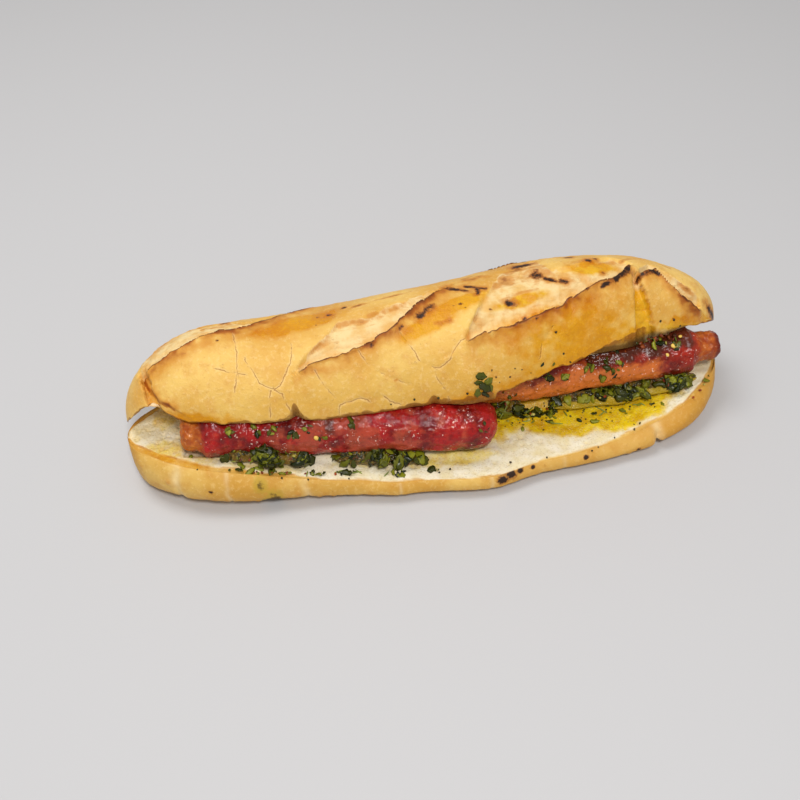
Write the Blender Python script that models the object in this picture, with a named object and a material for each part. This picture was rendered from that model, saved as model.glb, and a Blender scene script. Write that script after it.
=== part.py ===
"""Grilled sausage sandwich: a scored bread roll cut in two, two sausages and chopped herb sauce.

Metres, +Z up. X runs along the roll, -Y is the open front, and the roll rests on its flat base
at z = 0. Each large piece is a sphere primitive whose vertices are laid out again by a function
of two numbers: the station along the piece, from -1 to 1, and the turn around it, from 0 to 1.
"""

import functools
import math
import random

import bmesh
import bpy
import numpy as np
from mathutils import Matrix, Vector
from mathutils.bvhtree import BVHTree

# Gap between a sausage and the crumb it is pressed into, and the middle of the outline
PRESS_GAP = 0.0006
CENTRE_X = 0.0125
CENTRE_Y = -0.0165

# Lower half of the roll, a thin slab that is lower at its front edge than at its back
HEEL_X = 0.0115
HEEL_Y = -0.0165
HEEL_YAW = 0.0050
HEEL_HALF_LENGTH = 0.1325
HEEL_HALF_WIDTH = 0.0400
HEEL_LEFT_SHARPNESS = 3.6
HEEL_RIGHT_SHARPNESS = 4.6
HEEL_BACK_EDGE = 0.0165
HEEL_HOLLOW = 0.0020
HEEL_UNDER_RADIUS = 0.0150
HEEL_UNDER_LIFT = 0.0110
HEEL_INSET = 0.0025
HEEL_END_INSET = 0.0045
HEEL_ALONG = 44
HEEL_AROUND = 26
HEEL_FACE_COLUMNS = 12

# Along the lower half: how far its front bulges out, and how high its front cut edge is, in mm
HEEL_BULGE = [
    (-1.00, 0), (-0.75, 0), (-0.50, -3), (-0.36, -1.9), (-0.29, -1.3), (-0.22, 0.3), (-0.155, 2.6),
    (-0.09, 2.4), (-0.02, 3.6), (0.05, 5.2), (0.12, 7.0), (0.185, 6.2), (0.25, 4.2), (0.32, 2.2),
    (0.46, 2.4), (0.60, 1.8), (0.80, 2.5), (0.90, 3.5), (1.00, 3.0),
]
HEEL_FRONT_EDGE = [
    (-1.00, 21.5), (-0.85, 21.5), (-0.70, 20.0), (-0.60, 18.0), (-0.50, 15.0), (-0.35, 11.8), (-0.20, 9.8),
    (0.00, 8.8), (0.40, 8.6), (0.55, 8.8), (0.65, 9.6), (0.75, 11.8), (0.85, 15.0), (0.95, 18.0),
    (1.00, 19.5),
]

# Upper half of the roll, a dome that leans back on the lower half
CROWN_X = 0.0125
CROWN_Y = -0.0065
CROWN_YAW = 0.0070
CROWN_HALF_LENGTH = 0.1335
CROWN_HALF_WIDTH = 0.0335
CROWN_HEIGHT = 0.0350
CROWN_SHOULDER = 0.0050
CROWN_WAIST = 0.0030
CROWN_LEFT_SHOULDER = 0.0052
CROWN_LEFT_SHARPNESS = 3.4
CROWN_RIGHT_SHARPNESS = 2.7
CROWN_REST = 0.0172
CROWN_RISE = 0.0030
CROWN_END_LIFT = 0.0070
CROWN_TILT = math.radians(16.5)
CROWN_FULLNESS = 2.2
CROWN_ARCH = 0.0030
CROWN_ALONG = 92
CROWN_AROUND = 34
CROWN_FACE_COLUMNS = 8

# Along the crown: how many degrees its front edge is lifted, and the share that it is drawn in
FRONT_LIFT = [
    (-1.00, 12), (-0.93, 27), (-0.90, 32), (-0.86, 20), (-0.80, 8), (-0.70, 6), (-0.60, 4.5),
    (-0.48, 2.5), (-0.445, 9), (-0.40, 1), (0.15, 0), (0.30, 1.5), (0.45, 6), (0.60, 11), (0.70, 15),
    (0.76, 12), (0.82, 14), (0.90, 8), (1.00, 8),
]
FRONT_DRAWN_IN = [
    (-1.00, 0.0), (0.00, 0.0), (0.06, -0.07), (0.11, -0.12), (0.16, -0.06), (0.30, 0.0), (0.45, 0.06),
    (0.60, 0.12), (0.75, 0.14), (0.90, 0.14), (1.00, 0.0),
]

# Half of the dome's outline, so that a place on it is (x, v): v is the distance from the crest
# line in the middle of the roll, negative towards the front, and shrinks with the section.
CROWN_ARC = 0.1080

# The cuts scored into the crown before baking. Each opened between its ear, the raised front
# edge, and its back edge: points (x, v) from left to right. Depth is its share of the full depth.
SCORES = {
    "left": {
        "ear": [(-0.113, -0.006), (-0.098, -0.008), (-0.081, -0.003), (-0.052, 0.0040), (-0.030, 0.016)],
        "back": [(-0.113, -0.005), (-0.107, 0.006), (-0.088, 0.011), (-0.060, 0.015), (-0.030, 0.017)],
        "depth": 0.4,
    },
    "middle": {
        "ear": [
            (-0.053, -0.037), (-0.043, -0.030), (-0.021, -0.0255), (-0.001, -0.0185), (0.010, -0.008),
            (0.034, 0.006),
        ],
        "back": [
            (-0.053, -0.036), (-0.040, -0.0215), (-0.026, -0.007), (-0.005, -0.004), (0.014, 0.001),
            (0.034, 0.007),
        ],
        "depth": 1.0,
    },
    "right": {
        "ear": [
            (0.011, -0.041), (0.023, -0.031), (0.054, -0.0275), (0.074, -0.022), (0.092, -0.016),
            (0.101, -0.009), (0.106, -0.004),
        ],
        "back": [
            (0.011, -0.040), (0.025, -0.029), (0.033, -0.016), (0.047, 0.000), (0.075, -0.003),
            (0.095, 0.003), (0.106, -0.003),
        ],
        "depth": 1.0,
    },
    "tip": {
        "ear": [(0.103, -0.013), (0.113, -0.008), (0.123, -0.0175), (0.137, -0.018)],
        "back": [(0.103, -0.012), (0.113, -0.001), (0.125, -0.010), (0.137, -0.015)],
        "depth": 1.0,
    },
    "back_left": {
        "ear": [(-0.080, 0.034), (-0.055, 0.027), (-0.020, 0.030), (0.000, 0.040)],
        "back": [(-0.080, 0.035), (-0.055, 0.038), (-0.020, 0.041), (0.000, 0.041)],
        "depth": 1.0,
    },
    "back_right": {
        "ear": [(0.030, 0.030), (0.055, 0.022), (0.085, 0.026), (0.105, 0.032)],
        "back": [(0.030, 0.031), (0.055, 0.034), (0.085, 0.037), (0.105, 0.033)],
        "depth": 1.0,
    },
}
SCORE_DEPTH = 0.0040
SCORE_BACK_STEP = 0.0010
SCORE_SWELL = 0.0008
EAR_HEIGHT = 0.0022
EAR_LENGTH = 0.0070
EDGE_SOFTNESS = 0.0016

# Clefts across the dome where the crust tore: (x at the top, v at the top, x and v at the bottom)
CLEFTS = [(0.1015, -0.006, 0.1030, -0.046), (-0.1095, -0.004, -0.1030, -0.030)]
CLEFT_DEPTH = 0.0045
CLEFT_HALF_WIDTH = 0.0022

# Sausages: the points of each axis from its bare tip, the radius of the casing, and the radius and
# share of the length of the meat that stands out of the casing at the tip
LEFT_SAUSAGE = {
    "axis": (
        (-0.0970, -0.0290, 0.0285), (-0.0550, -0.0320, 0.0250), (-0.0050, -0.0365, 0.0226),
        (0.0370, -0.0420, 0.0216),
    ),
    "radius": 0.0107,
    "tip_radius": 0.0088,
    "tip_share": 0.08,
}
RIGHT_SAUSAGE = {
    "axis": (
        (0.1430, -0.0170, 0.0282), (0.1050, -0.0165, 0.0260), (0.0600, -0.0165, 0.0232),
        (0.0160, -0.0120, 0.0222),
    ),
    "radius": 0.0106,
    "tip_radius": 0.0064,
    "tip_share": 0.11,
}
SAUSAGE_ALONG = 30
SAUSAGE_AROUND = 14

# Chopped herb sauce along the foot of a sausage: the stretch of x it covers, how far it spreads to
# the front, how high it stands and how many leaves show
HEAPS = {
    "chimichurri_left": {
        "beside": LEFT_SAUSAGE, "from": -0.0800, "to": -0.0430,
        "spread": 0.0062, "rise": 0.0085, "leaves": 14,
    },
    "chimichurri_middle": {
        "beside": LEFT_SAUSAGE, "from": -0.0340, "to": 0.0050,
        "spread": 0.0048, "rise": 0.0070, "leaves": 9,
    },
    "chimichurri_centre": {
        "beside": RIGHT_SAUSAGE, "from": 0.0390, "to": 0.0520,
        "spread": 0.0050, "rise": 0.0065, "leaves": 6,
    },
    "chimichurri_right": {
        "beside": RIGHT_SAUSAGE, "from": 0.0640, "to": 0.1320,
        "spread": 0.0060, "rise": 0.0070, "leaves": 20,
    },
}
HEAP_CLEARANCE = 0.0005
HEAP_ALONG = 12
HEAP_AROUND = 8
LEAF_LENGTH = 0.0024
LEAF_WIDTH = 0.0013
LEAF_THICKNESS = 0.0004
LEAF_TRIES = 40

# Leaves and seeds stuck on the pieces, each with its length. On the sausages: x and degrees from
# straight up towards the front. On the lower half: x and y. On the crown: x, y and z.
FLAKES_ON_LEFT = [
    (-0.076, 44, 1.0), (-0.065, 52, 0.8), (-0.058, 48, 0.9), (-0.050, 56, 1.0), (-0.043, 44, 0.9),
    (-0.037, 66, 0.8), (-0.0245, 38, 0.8), (0.030, 50, 0.6),
]
FLAKES_ON_RIGHT = [
    (0.045, 84, 1.0), (0.0635, 58, 1.0), (0.070, 62, 0.9), (0.0806, 46, 1.1), (0.0889, 46, 1.0),
    (0.0946, 54, 0.9), (0.0864, 80, 0.9), (0.092, 74, 1.0), (0.1084, 2, 1.1), (0.1129, 16, 1.0),
    (0.119, 38, 0.9),
]
FLAKES_ON_HEEL = [
    (0.0824, -0.0369, 0.9), (-0.0698, -0.0480, 1.3), (-0.0608, -0.0475, 1.1), (0.050, -0.036, 0.6),
]
FLAKES_ON_CROWN = [(0.0296, -0.0379, 0.0431, 1.2)]


def smooth(value, low, high):
    """0 below low, 1 above high and an S curve between."""
    part = np.clip((value - low) / (high - low), 0.0, 1.0)
    return part * part * (3.0 - 2.0 * part)


def hump(value, middle, width):
    """A bell of height 1 at middle."""
    return np.exp(-(((value - middle) / width) ** 2))


def taper(station, sharpness):
    """Share of the full section that is left at a station: 1 in the middle and 0 at both tips."""
    return np.sqrt(np.maximum(1.0 - np.abs(station) ** sharpness, 0.0))


def along_points(points, share):
    """Places at these shares of the way along the cubic curve through four points."""
    knots = [number / 3.0 for number in range(4)]
    share = np.asarray(share, dtype=float)
    place = np.zeros(share.shape + (3,))
    for number, point in enumerate(points):
        weight = np.ones_like(share)
        for other in range(4):
            if other != number:
                weight = weight * (share - knots[other]) / (knots[number] - knots[other])
        place += weight[..., None] * np.array(point)
    return place


@functools.lru_cache
def axis_line(points):
    """Sixty places along a sausage's axis, from left to right."""
    line = along_points(points, np.linspace(0.0, 1.0, 60))
    return line[np.argsort(line[:, 0])]


def axis_at(points, x):
    """y and z of a sausage's axis above or below x, and whether the sausage reaches that x."""
    line = axis_line(points)
    inside = (x > line[0, 0]) & (x < line[-1, 0])
    return np.interp(x, line[:, 0], line[:, 1]), np.interp(x, line[:, 0], line[:, 2]), inside


def half_chord(offset, radius):
    """Height of a round of this radius above its centre, at an offset from the centre."""
    return np.sqrt(np.maximum(radius**2 - offset**2, 0.0))


def table(station, rows):
    """Reads a table of (station, value) rows, with its corners rounded off."""
    stations, values = np.array(rows, dtype=float).T
    near = [np.interp(station + shift, stations, values) for shift in (-0.03, -0.01, 0.01, 0.03)]
    return sum(near) / len(near)


def heel_narrow(station):
    """Share of the lower half's full section that is left at a station."""
    return taper(station, np.where(station < 0.0, HEEL_LEFT_SHARPNESS, HEEL_RIGHT_SHARPNESS))


def heel_edges(station):
    """Height of the cut edge at the front and at the back of the lower half."""
    front = 0.001 * table(station, HEEL_FRONT_EDGE)
    return front, HEEL_BACK_EDGE + 0.4 * np.maximum(front - 0.009, 0.0)


def pressed(x, y, z, under):
    """Crumb meets the round of each sausage: it gives way below (under) or above the sausage."""
    sign = -1.0 if under else 1.0
    for sausage in (LEFT_SAUSAGE, RIGHT_SAUSAGE):
        axis_y, axis_z, inside = axis_at(sausage["axis"], x)
        radius = sausage["radius"]
        offset = np.abs(y - axis_y)
        limit = axis_z + sign * (half_chord(offset, radius + PRESS_GAP) + PRESS_GAP)
        overlaps = inside & (offset < radius) & (sign * (limit - z) > 0.0)
        meets = np.where(inside, 1.0 - smooth(offset, 0.35 * radius, 0.9 * radius), 0.0)
        z = np.where(overlaps, limit, z + meets * (limit - z))
    return z


def heel_face_height(x, y):
    """Height of the cut face of the lower half at a place inside its outline."""
    station = (x - HEEL_X) / HEEL_HALF_LENGTH
    half_width = HEEL_HALF_WIDTH * heel_narrow(station) + 1e-6
    share = np.clip(0.5 + (y - HEEL_Y - HEEL_YAW * station) / (2.0 * half_width), 0.0, 1.0)
    front, back = heel_edges(station)
    return front + (back - front) * share - HEEL_HOLLOW * np.sin(np.pi * share)


def heel_point(station, turn):
    """The lower half: the cut face from the back edge to the front one, then the crust under it."""
    face_share = HEEL_FACE_COLUMNS / HEEL_AROUND
    narrow = heel_narrow(station)
    half_width = HEEL_HALF_WIDTH * narrow
    bulge = 0.001 * table(station, HEEL_BULGE) * narrow
    front, back = heel_edges(station)
    x = HEEL_X + station * HEEL_HALF_LENGTH

    inset = np.minimum(HEEL_INSET + HEEL_END_INSET * smooth(np.abs(station), 0.3, 0.8), 0.35 * half_width)
    across = np.clip(turn / face_share, 0.0, 1.0)
    middle_y = HEEL_Y + HEEL_YAW * station
    face_y = middle_y + (half_width - inset) * (1.0 - 2.0 * across) - bulge * smooth(across, 0.2, 1.0)
    face_z = pressed(x, face_y, heel_face_height(x, face_y), True)

    under = np.clip((turn - face_share) / (1.0 - face_share), 0.0, 1.0)
    side = np.where(under < 0.5, -1.0, 1.0)
    edge = np.where(under < 0.5, front, back)
    depth = 1.0 - 2.0 * np.abs(under - 0.5)
    lip = math.radians(50.0)
    angle = lip - (lip + math.pi / 2.0) * np.clip(depth / 0.75, 0.0, 1.0)
    radius = np.minimum(HEEL_UNDER_RADIUS, 0.6 * half_width)
    above = half_width - inset * (1.0 - np.cos(angle)) / (1.0 - math.cos(lip))
    below = half_width - radius * (1.0 - np.cos(angle))
    reach = np.where(angle > 0.0, above, below) * (1.0 - smooth(depth, 0.75, 1.02))
    height = np.where(angle > 0.0, 0.5 + 0.5 * np.sin(angle) / math.sin(lip), 0.5 + 0.5 * np.sin(angle))
    base = HEEL_UNDER_LIFT * np.clip(1.0 - narrow / 0.5, 0.0, 1.0) ** 2
    crust_y = middle_y + side * reach - bulge * np.where(under < 0.5, 1.0 - smooth(depth, 0.7, 1.0), 0.0)
    crust_z = base + (edge - base) * height

    on_face = turn <= face_share
    return x, np.where(on_face, face_y, crust_y), np.where(on_face, face_z, crust_z)


def score_relief(x, v):
    """How far the crust stands out at (x, v): the floor of each score is low and its ear high."""
    relief = np.zeros_like(x)
    for score in SCORES.values():
        ear_x, ear_v = np.array(score["ear"]).T
        back_x, back_v = np.array(score["back"]).T
        ear = np.interp(x, ear_x, ear_v)
        back = np.interp(x, back_x, back_v)
        width = np.maximum(back - ear, 1e-5)
        along = smooth(x, ear_x[0], ear_x[0] + 0.006) * (1.0 - smooth(x, ear_x[-1] - 0.006, ear_x[-1]))
        opened = score["depth"] * along * smooth(width, 0.0, 0.006)
        share = np.clip((v - ear) / width, 0.0, 1.0)
        floor = SCORE_BACK_STEP + SCORE_DEPTH * (1.0 - share) - SCORE_SWELL * np.sin(np.pi * share)
        inside = smooth(v - ear, 0.0, EDGE_SOFTNESS) * (1.0 - smooth(v - back, -EDGE_SOFTNESS, 0.0))
        lip = EAR_HEIGHT * np.exp(-np.maximum(ear - v, 0.0) / EAR_LENGTH) * (v < ear + EDGE_SOFTNESS)
        relief += opened * (lip * (1.0 - inside) - floor * inside)
    return relief


def on_score_edges(x, v, cell):
    """Moves each vertex that is next to an edge of a score onto it, so that the edge is crisp."""
    moved = v
    for score in SCORES.values():
        for edge in ("back", "ear"):
            line_x, line_v = np.array(score[edge]).T
            target = np.interp(x, line_x, line_v)
            near = (x > line_x[0]) & (x < line_x[-1]) & (np.abs(target - v) <= 0.5 * cell)
            moved = np.where(near, target, moved)
    return moved


def cleft_relief(x, v):
    """The torn clefts, as narrow valleys that open towards the cut edge."""
    relief = np.zeros_like(x)
    for top_x, top_v, low_x, low_v in CLEFTS:
        down = np.clip((v - top_v) / (low_v - top_v), 0.0, 1.0)
        reached = smooth(top_v + 0.002 - v, 0.0, 0.004)
        away = (x - (top_x + (low_x - top_x) * down)) / (CLEFT_HALF_WIDTH * (0.8 + 0.8 * down))
        relief -= CLEFT_DEPTH * reached * hump(away, 0.0, 1.0)
    return relief


def crown_point(station, turn):
    """The upper half: the dome from its front edge over to the back, then the cut face under it."""
    dome_share = 1.0 - CROWN_FACE_COLUMNS / CROWN_AROUND
    sharpness = np.where(station < 0.0, CROWN_LEFT_SHARPNESS, CROWN_RIGHT_SHARPNESS)
    narrow = taper(station, sharpness)
    x = CROWN_X + station * CROWN_HALF_LENGTH
    half_width = CROWN_HALF_WIDTH * narrow
    height = CROWN_HEIGHT + CROWN_SHOULDER * hump(station, 0.6, 0.35)
    height = height - CROWN_WAIST * hump(station, -0.42, 0.3)
    height = height + CROWN_LEFT_SHOULDER * hump(station, -0.80, 0.17)
    height = height * narrow**0.8
    tuck = table(station, FRONT_DRAWN_IN)

    start = np.radians(table(station, FRONT_LIFT))
    angle = start + np.clip(turn / dome_share, 0.0, 1.0) * (math.pi - start)
    arc = CROWN_ARC * narrow + 1e-9
    v = (angle / math.pi - 0.5) * arc
    cell = arc * (1.0 - start / math.pi) / (CROWN_AROUND - CROWN_FACE_COLUMNS)
    inner = (turn > 0.5 / CROWN_AROUND) & (turn < dome_share - 0.5 / CROWN_AROUND)
    v = np.where(inner, on_score_edges(x, v, cell), v)
    angle = (v / arc + 0.5) * math.pi
    cosine, sine = np.cos(angle), np.sin(angle)
    out = np.sign(cosine) * np.abs(cosine) ** (2.0 / CROWN_FULLNESS)
    up = np.abs(sine) ** (2.0 / CROWN_FULLNESS)
    out = out * np.where(out > 0.0, 1.0 - tuck, 1.0)
    relief = (score_relief(x, v) + cleft_relief(x, v)) * smooth(narrow, 0.15, 0.45)
    normal = np.hypot(cosine * height, sine * half_width) + 1e-9
    dome_out = half_width * out + relief * cosine * height / normal
    dome_up = height * up + relief * sine * half_width / normal

    cut = np.clip((turn - dome_share) / (1.0 - dome_share), 0.0, 1.0)
    front_out = half_width * (1.0 - tuck) * np.cos(start) ** (2.0 / CROWN_FULLNESS)
    front_up = height * np.sin(start) ** (2.0 / CROWN_FULLNESS)
    face_out = -half_width + (front_out + half_width) * cut
    face_up = front_up * cut**1.5 + CROWN_ARCH * narrow * np.sin(np.pi * cut)

    on_face = turn > dome_share + 1e-6
    out = np.where(on_face, face_out, dome_out)
    up = np.where(on_face, face_up, dome_up)
    middle_y = CROWN_Y + CROWN_YAW * station
    lifted = CROWN_REST + CROWN_RISE * station + CROWN_END_LIFT * station**2
    middle_z = lifted + half_width * math.sin(CROWN_TILT)
    y = middle_y - out * math.cos(CROWN_TILT) + up * math.sin(CROWN_TILT)
    z = middle_z + out * math.sin(CROWN_TILT) + up * math.cos(CROWN_TILT)
    z = np.where(on_face, pressed(x, y, z, False), z)
    return x, y, z


def sausage_point(sausage):
    """A bent casing, round at its end, with bare meat standing out at the first point of its axis."""

    def place(station, turn):
        share = 0.5 + 0.5 * station
        centre = along_points(sausage["axis"], share)
        ahead = along_points(sausage["axis"], share + 1e-3) - along_points(sausage["axis"], share - 1e-3)
        ahead /= np.linalg.norm(ahead, axis=-1, keepdims=True)
        side = np.cross(ahead, [0.0, 0.0, 1.0])
        side /= np.linalg.norm(side, axis=-1, keepdims=True)
        above = np.cross(side, ahead)
        round_end = np.maximum(1.0 - np.maximum(station, 0.0) ** 14, 0.0) ** 0.5
        bare_end = np.maximum(1.0 - np.maximum(-station, 0.0) ** 40, 0.0) ** 0.5
        cased = smooth(share, sausage["tip_share"] * 0.7, sausage["tip_share"] * 1.6)
        radius = sausage["tip_radius"] + (sausage["radius"] - sausage["tip_radius"]) * cased
        radius = (radius * round_end * bare_end * (1.0 + 0.02 * np.sin(17.0 * share + 1.0)))[..., None]
        around = (2.0 * np.pi * turn)[..., None]
        spot = centre + radius * (np.cos(around) * side + np.sin(around) * above)
        return spot[..., 0], spot[..., 1], spot[..., 2]

    return place


def material(name, colour, roughness):
    """A plain finish: base colour, roughness and no metal."""
    made = bpy.data.materials.new(name)
    made.use_nodes = True
    shader = made.node_tree.nodes["Principled BSDF"]
    shader.inputs["Base Color"].default_value = (*colour, 1.0)
    shader.inputs["Roughness"].default_value = roughness
    shader.inputs["Metallic"].default_value = 0.0
    return made


def add_object(name, mesh, collection, finish):
    """An object of its own in the collection, shaded smooth up to 40 degrees."""
    made = bpy.data.objects.new(name, mesh)
    mesh.materials.append(finish)
    mesh.shade_smooth()
    mesh.set_sharp_from_angle(angle=math.radians(40.0))
    collection.objects.link(made)
    return made


def wrapped_sphere(name, along, around, place, collection, finish):
    """A sphere primitive laid out again: its poles are the piece's two tips."""
    body = bmesh.new()
    bmesh.ops.create_uvsphere(body, u_segments=around, v_segments=along, radius=1.0)
    ball = np.array([vertex.co[:] for vertex in body.verts])
    turn = np.round(np.arctan2(ball[:, 1], ball[:, 0]) / (2.0 * np.pi) * around) % around / around
    spots = np.stack(place(np.clip(ball[:, 2], -1.0, 1.0), turn), axis=1)
    for vertex, spot in zip(body.verts, spots):
        vertex.co = spot - (CENTRE_X, CENTRE_Y, 0.0)
    if body.calc_volume(signed=True) < 0.0:
        bmesh.ops.reverse_faces(body, faces=body.faces)
    bmesh.ops.triangulate(body, faces=body.faces, quad_method="SHORT_EDGE")
    mesh = bpy.data.meshes.new(name)
    body.to_mesh(mesh)
    body.free()
    return add_object(name, mesh, collection, finish)


def surface_of(piece):
    """A tree for finding places on a finished piece."""
    corners = [vertex.co.copy() for vertex in piece.data.vertices]
    return BVHTree.FromPolygons(corners, [tuple(face.vertices) for face in piece.data.polygons])


def ground_under(surface, x, y, default):
    """Height of the piece at a place seen from above, in the sandwich's own frame."""
    spot = surface.ray_cast(Vector((x - CENTRE_X, y - CENTRE_Y, 0.2)), Vector((0.0, 0.0, -1.0)))[0]
    return default if spot is None else spot.z


def kept_clear(corner, surface, clearance):
    """Moves a corner of a heap out of the sausages and up off the bread."""
    x, y, z = corner
    for _ in range(3):
        for sausage in (LEFT_SAUSAGE, RIGHT_SAUSAGE):
            axis_y, axis_z, inside = axis_at(sausage["axis"], x)
            away = math.hypot(y - axis_y, z - axis_z)
            free = sausage["radius"] * 1.02 + clearance
            if inside and away < free:
                y = axis_y + (y - axis_y) / away * free
                z = axis_z + (z - axis_z) / away * free
        z = max(z, ground_under(surface, x, y, z) + clearance)
    return Vector((x, y, z))


def heap_point(heap, surface):
    """The core of a heap of sauce: a low ridge along the foot of its sausage."""

    def place(station, turn):
        x = 0.5 * (heap["from"] + heap["to"]) + 0.5 * station * (heap["to"] - heap["from"])
        narrow = taper(station, 2.4) * (1.0 + 0.15 * np.sin(9.0 * station + 2.0))
        axis_y, _, _ = axis_at(heap["beside"]["axis"], x)
        around = 2.0 * np.pi * turn
        y = axis_y - 0.78 * heap["beside"]["radius"] + heap["spread"] * narrow * np.cos(around)
        ground = [ground_under(surface, *spot, 0.012) for spot in zip(x, y)]
        z = np.array(ground) + 0.5 * heap["rise"] * narrow * (1.0 + np.sin(around))
        return np.array([kept_clear(spot, surface, HEAP_CLEARANCE) for spot in zip(x, y, z)]).T

    return place


def leaf_body(centre, facing, length, draw):
    """A chopped leaf: a squashed icosphere, bent along its length, that lies more or less along X."""
    body = bmesh.new()
    bmesh.ops.create_icosphere(body, subdivisions=1, radius=1.0)
    size = (LEAF_LENGTH * length, LEAF_WIDTH * draw.uniform(0.8, 1.2), LEAF_THICKNESS)
    across = facing.cross(Vector((1.0, 0.0, 0.0))).normalized()
    frame = Matrix((across.cross(facing).normalized(), across, facing.normalized())).transposed()
    turned = frame @ Matrix.Rotation(draw.uniform(-0.9, 0.9), 3, "Z")
    for vertex in body.verts:
        spot = Vector([vertex.co[axis] * size[axis] for axis in range(3)])
        spot.z -= 0.18 * LEAF_LENGTH * (vertex.co.x**2)
        vertex.co = centre + turned @ spot
    return body


def settled(body, surface, clearance):
    """Moves a leaf's corners clear of bread and sausages. False where they move too far for it."""
    for vertex in body.verts:
        spot = kept_clear(vertex.co, surface, clearance)
        if (spot - vertex.co).length > 1.5 * LEAF_THICKNESS:
            return False
        vertex.co = spot
    return True


def add_leaf(body, collection, finish):
    """Makes an object of a leaf."""
    for vertex in body.verts:
        vertex.co -= Vector((CENTRE_X, CENTRE_Y, 0.0))
    mesh = bpy.data.meshes.new("leaf")
    body.to_mesh(mesh)
    add_object("leaf", mesh, collection, finish)


def shells(body):
    """The separate closed surfaces of a mesh, each as its list of faces."""
    waiting = set(body.faces)
    found = []
    while waiting:
        shell = []
        edge_of_search = [waiting.pop()]
        while edge_of_search:
            face = edge_of_search.pop()
            shell.append(face)
            near = {other for edge in face.edges for other in edge.link_faces} & waiting
            waiting -= near
            edge_of_search.extend(near)
        found.append(shell)
    return found


def largest_shell(mesh):
    """Fills the hollows that fusing seals and drops loose scraps: only the largest shell stays."""
    body = bmesh.new()
    body.from_mesh(mesh)
    ordered = sorted(shells(body), key=lambda shell: sum(face.calc_area() for face in shell))
    for shell in ordered[:-1]:
        bmesh.ops.delete(body, geom=shell, context="FACES")
    body.to_mesh(mesh)
    body.free()


def fused(piece, extras):
    """Joins every object of the extras collection to the piece, and then removes them."""
    union = piece.modifiers.new("toppings", "BOOLEAN")
    union.operation = "UNION"
    union.operand_type = "COLLECTION"
    union.collection = extras
    union.solver = "MANIFOLD"
    whole = bpy.data.meshes.new_from_object(piece.evaluated_get(bpy.context.evaluated_depsgraph_get()))
    piece.modifiers.clear()
    largest_shell(whole)
    whole.shade_smooth()
    whole.set_sharp_from_angle(angle=math.radians(40.0))
    piece.data = whole
    for extra in list(extras.objects):
        bpy.data.objects.remove(extra)
    bpy.data.collections.remove(extras)


def place_in_heap(heap, share, outside, draw):
    """A draw of a place on the core of a heap, and of the way a leaf there faces."""
    offset = Vector((CENTRE_X, CENTRE_Y, 0.0))
    x = heap["from"] + (heap["to"] - heap["from"]) * (0.04 + 0.92 * share)
    front = float(axis_at(heap["beside"]["axis"], x)[0]) - heap["beside"]["radius"]
    y = front + heap["spread"] * draw.uniform(-1.5, 0.5)
    spot = outside.find_nearest(Vector((x, y, 0.030)) - offset)[0]
    facing = Vector((draw.uniform(-0.6, 0.6), draw.uniform(-1.2, 0.1), 1.0))
    return spot + offset + 0.0002 * facing, facing


def add_heap(name, heap, surface, sandwich, finish, draw):
    """One heap of sauce: its core with the leaves that show fused on."""
    core = wrapped_sphere(name, HEAP_ALONG, HEAP_AROUND, heap_point(heap, surface), sandwich, finish)
    outside = surface_of(core)
    extras = bpy.data.collections.new("leaves")
    bpy.context.scene.collection.children.link(extras)
    for number in range(heap["leaves"]):
        clearance = HEAP_CLEARANCE - (0.3 + 0.1 * number / heap["leaves"]) * HEAP_CLEARANCE
        for attempt in range(LEAF_TRIES):
            share = (number + draw.uniform(0.1, 0.9)) / heap["leaves"]
            spot, facing = place_in_heap(heap, share, outside, draw)
            length = draw.uniform(0.8, 1.3) * (1.0 - 0.6 * attempt / LEAF_TRIES)
            body = leaf_body(spot, facing, length, draw)
            fits = settled(body, surface, clearance)
            if fits:
                add_leaf(body, extras, finish)
            body.free()
            if fits:
                break
    fused(core, extras)


def add_flakes(piece, spots, finish, draw):
    """Fuses single leaves onto a piece: each spot is a start point, a direction and a length."""
    surface = surface_of(piece)
    offset = Vector((CENTRE_X, CENTRE_Y, 0.0))
    extras = bpy.data.collections.new("flakes")
    bpy.context.scene.collection.children.link(extras)
    for start, towards, length in spots:
        spot, facing, _, _ = surface.ray_cast(start - offset, towards)
        body = leaf_body(spot + offset + 0.2 * LEAF_THICKNESS * facing, facing, length, draw)
        add_leaf(body, extras, finish)
        body.free()
    fused(piece, extras)


def around_sausage(sausage, flakes):
    """Rays that meet a sausage at each flake's place, from outside towards its axis."""
    rays = []
    for x, degrees, length in flakes:
        axis_y, axis_z, _ = axis_at(sausage["axis"], x)
        out = Vector((0.0, -math.sin(math.radians(degrees)), math.cos(math.radians(degrees))))
        rays.append((Vector((x, float(axis_y), float(axis_z))) + 0.05 * out, -out, length))
    return rays


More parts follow.
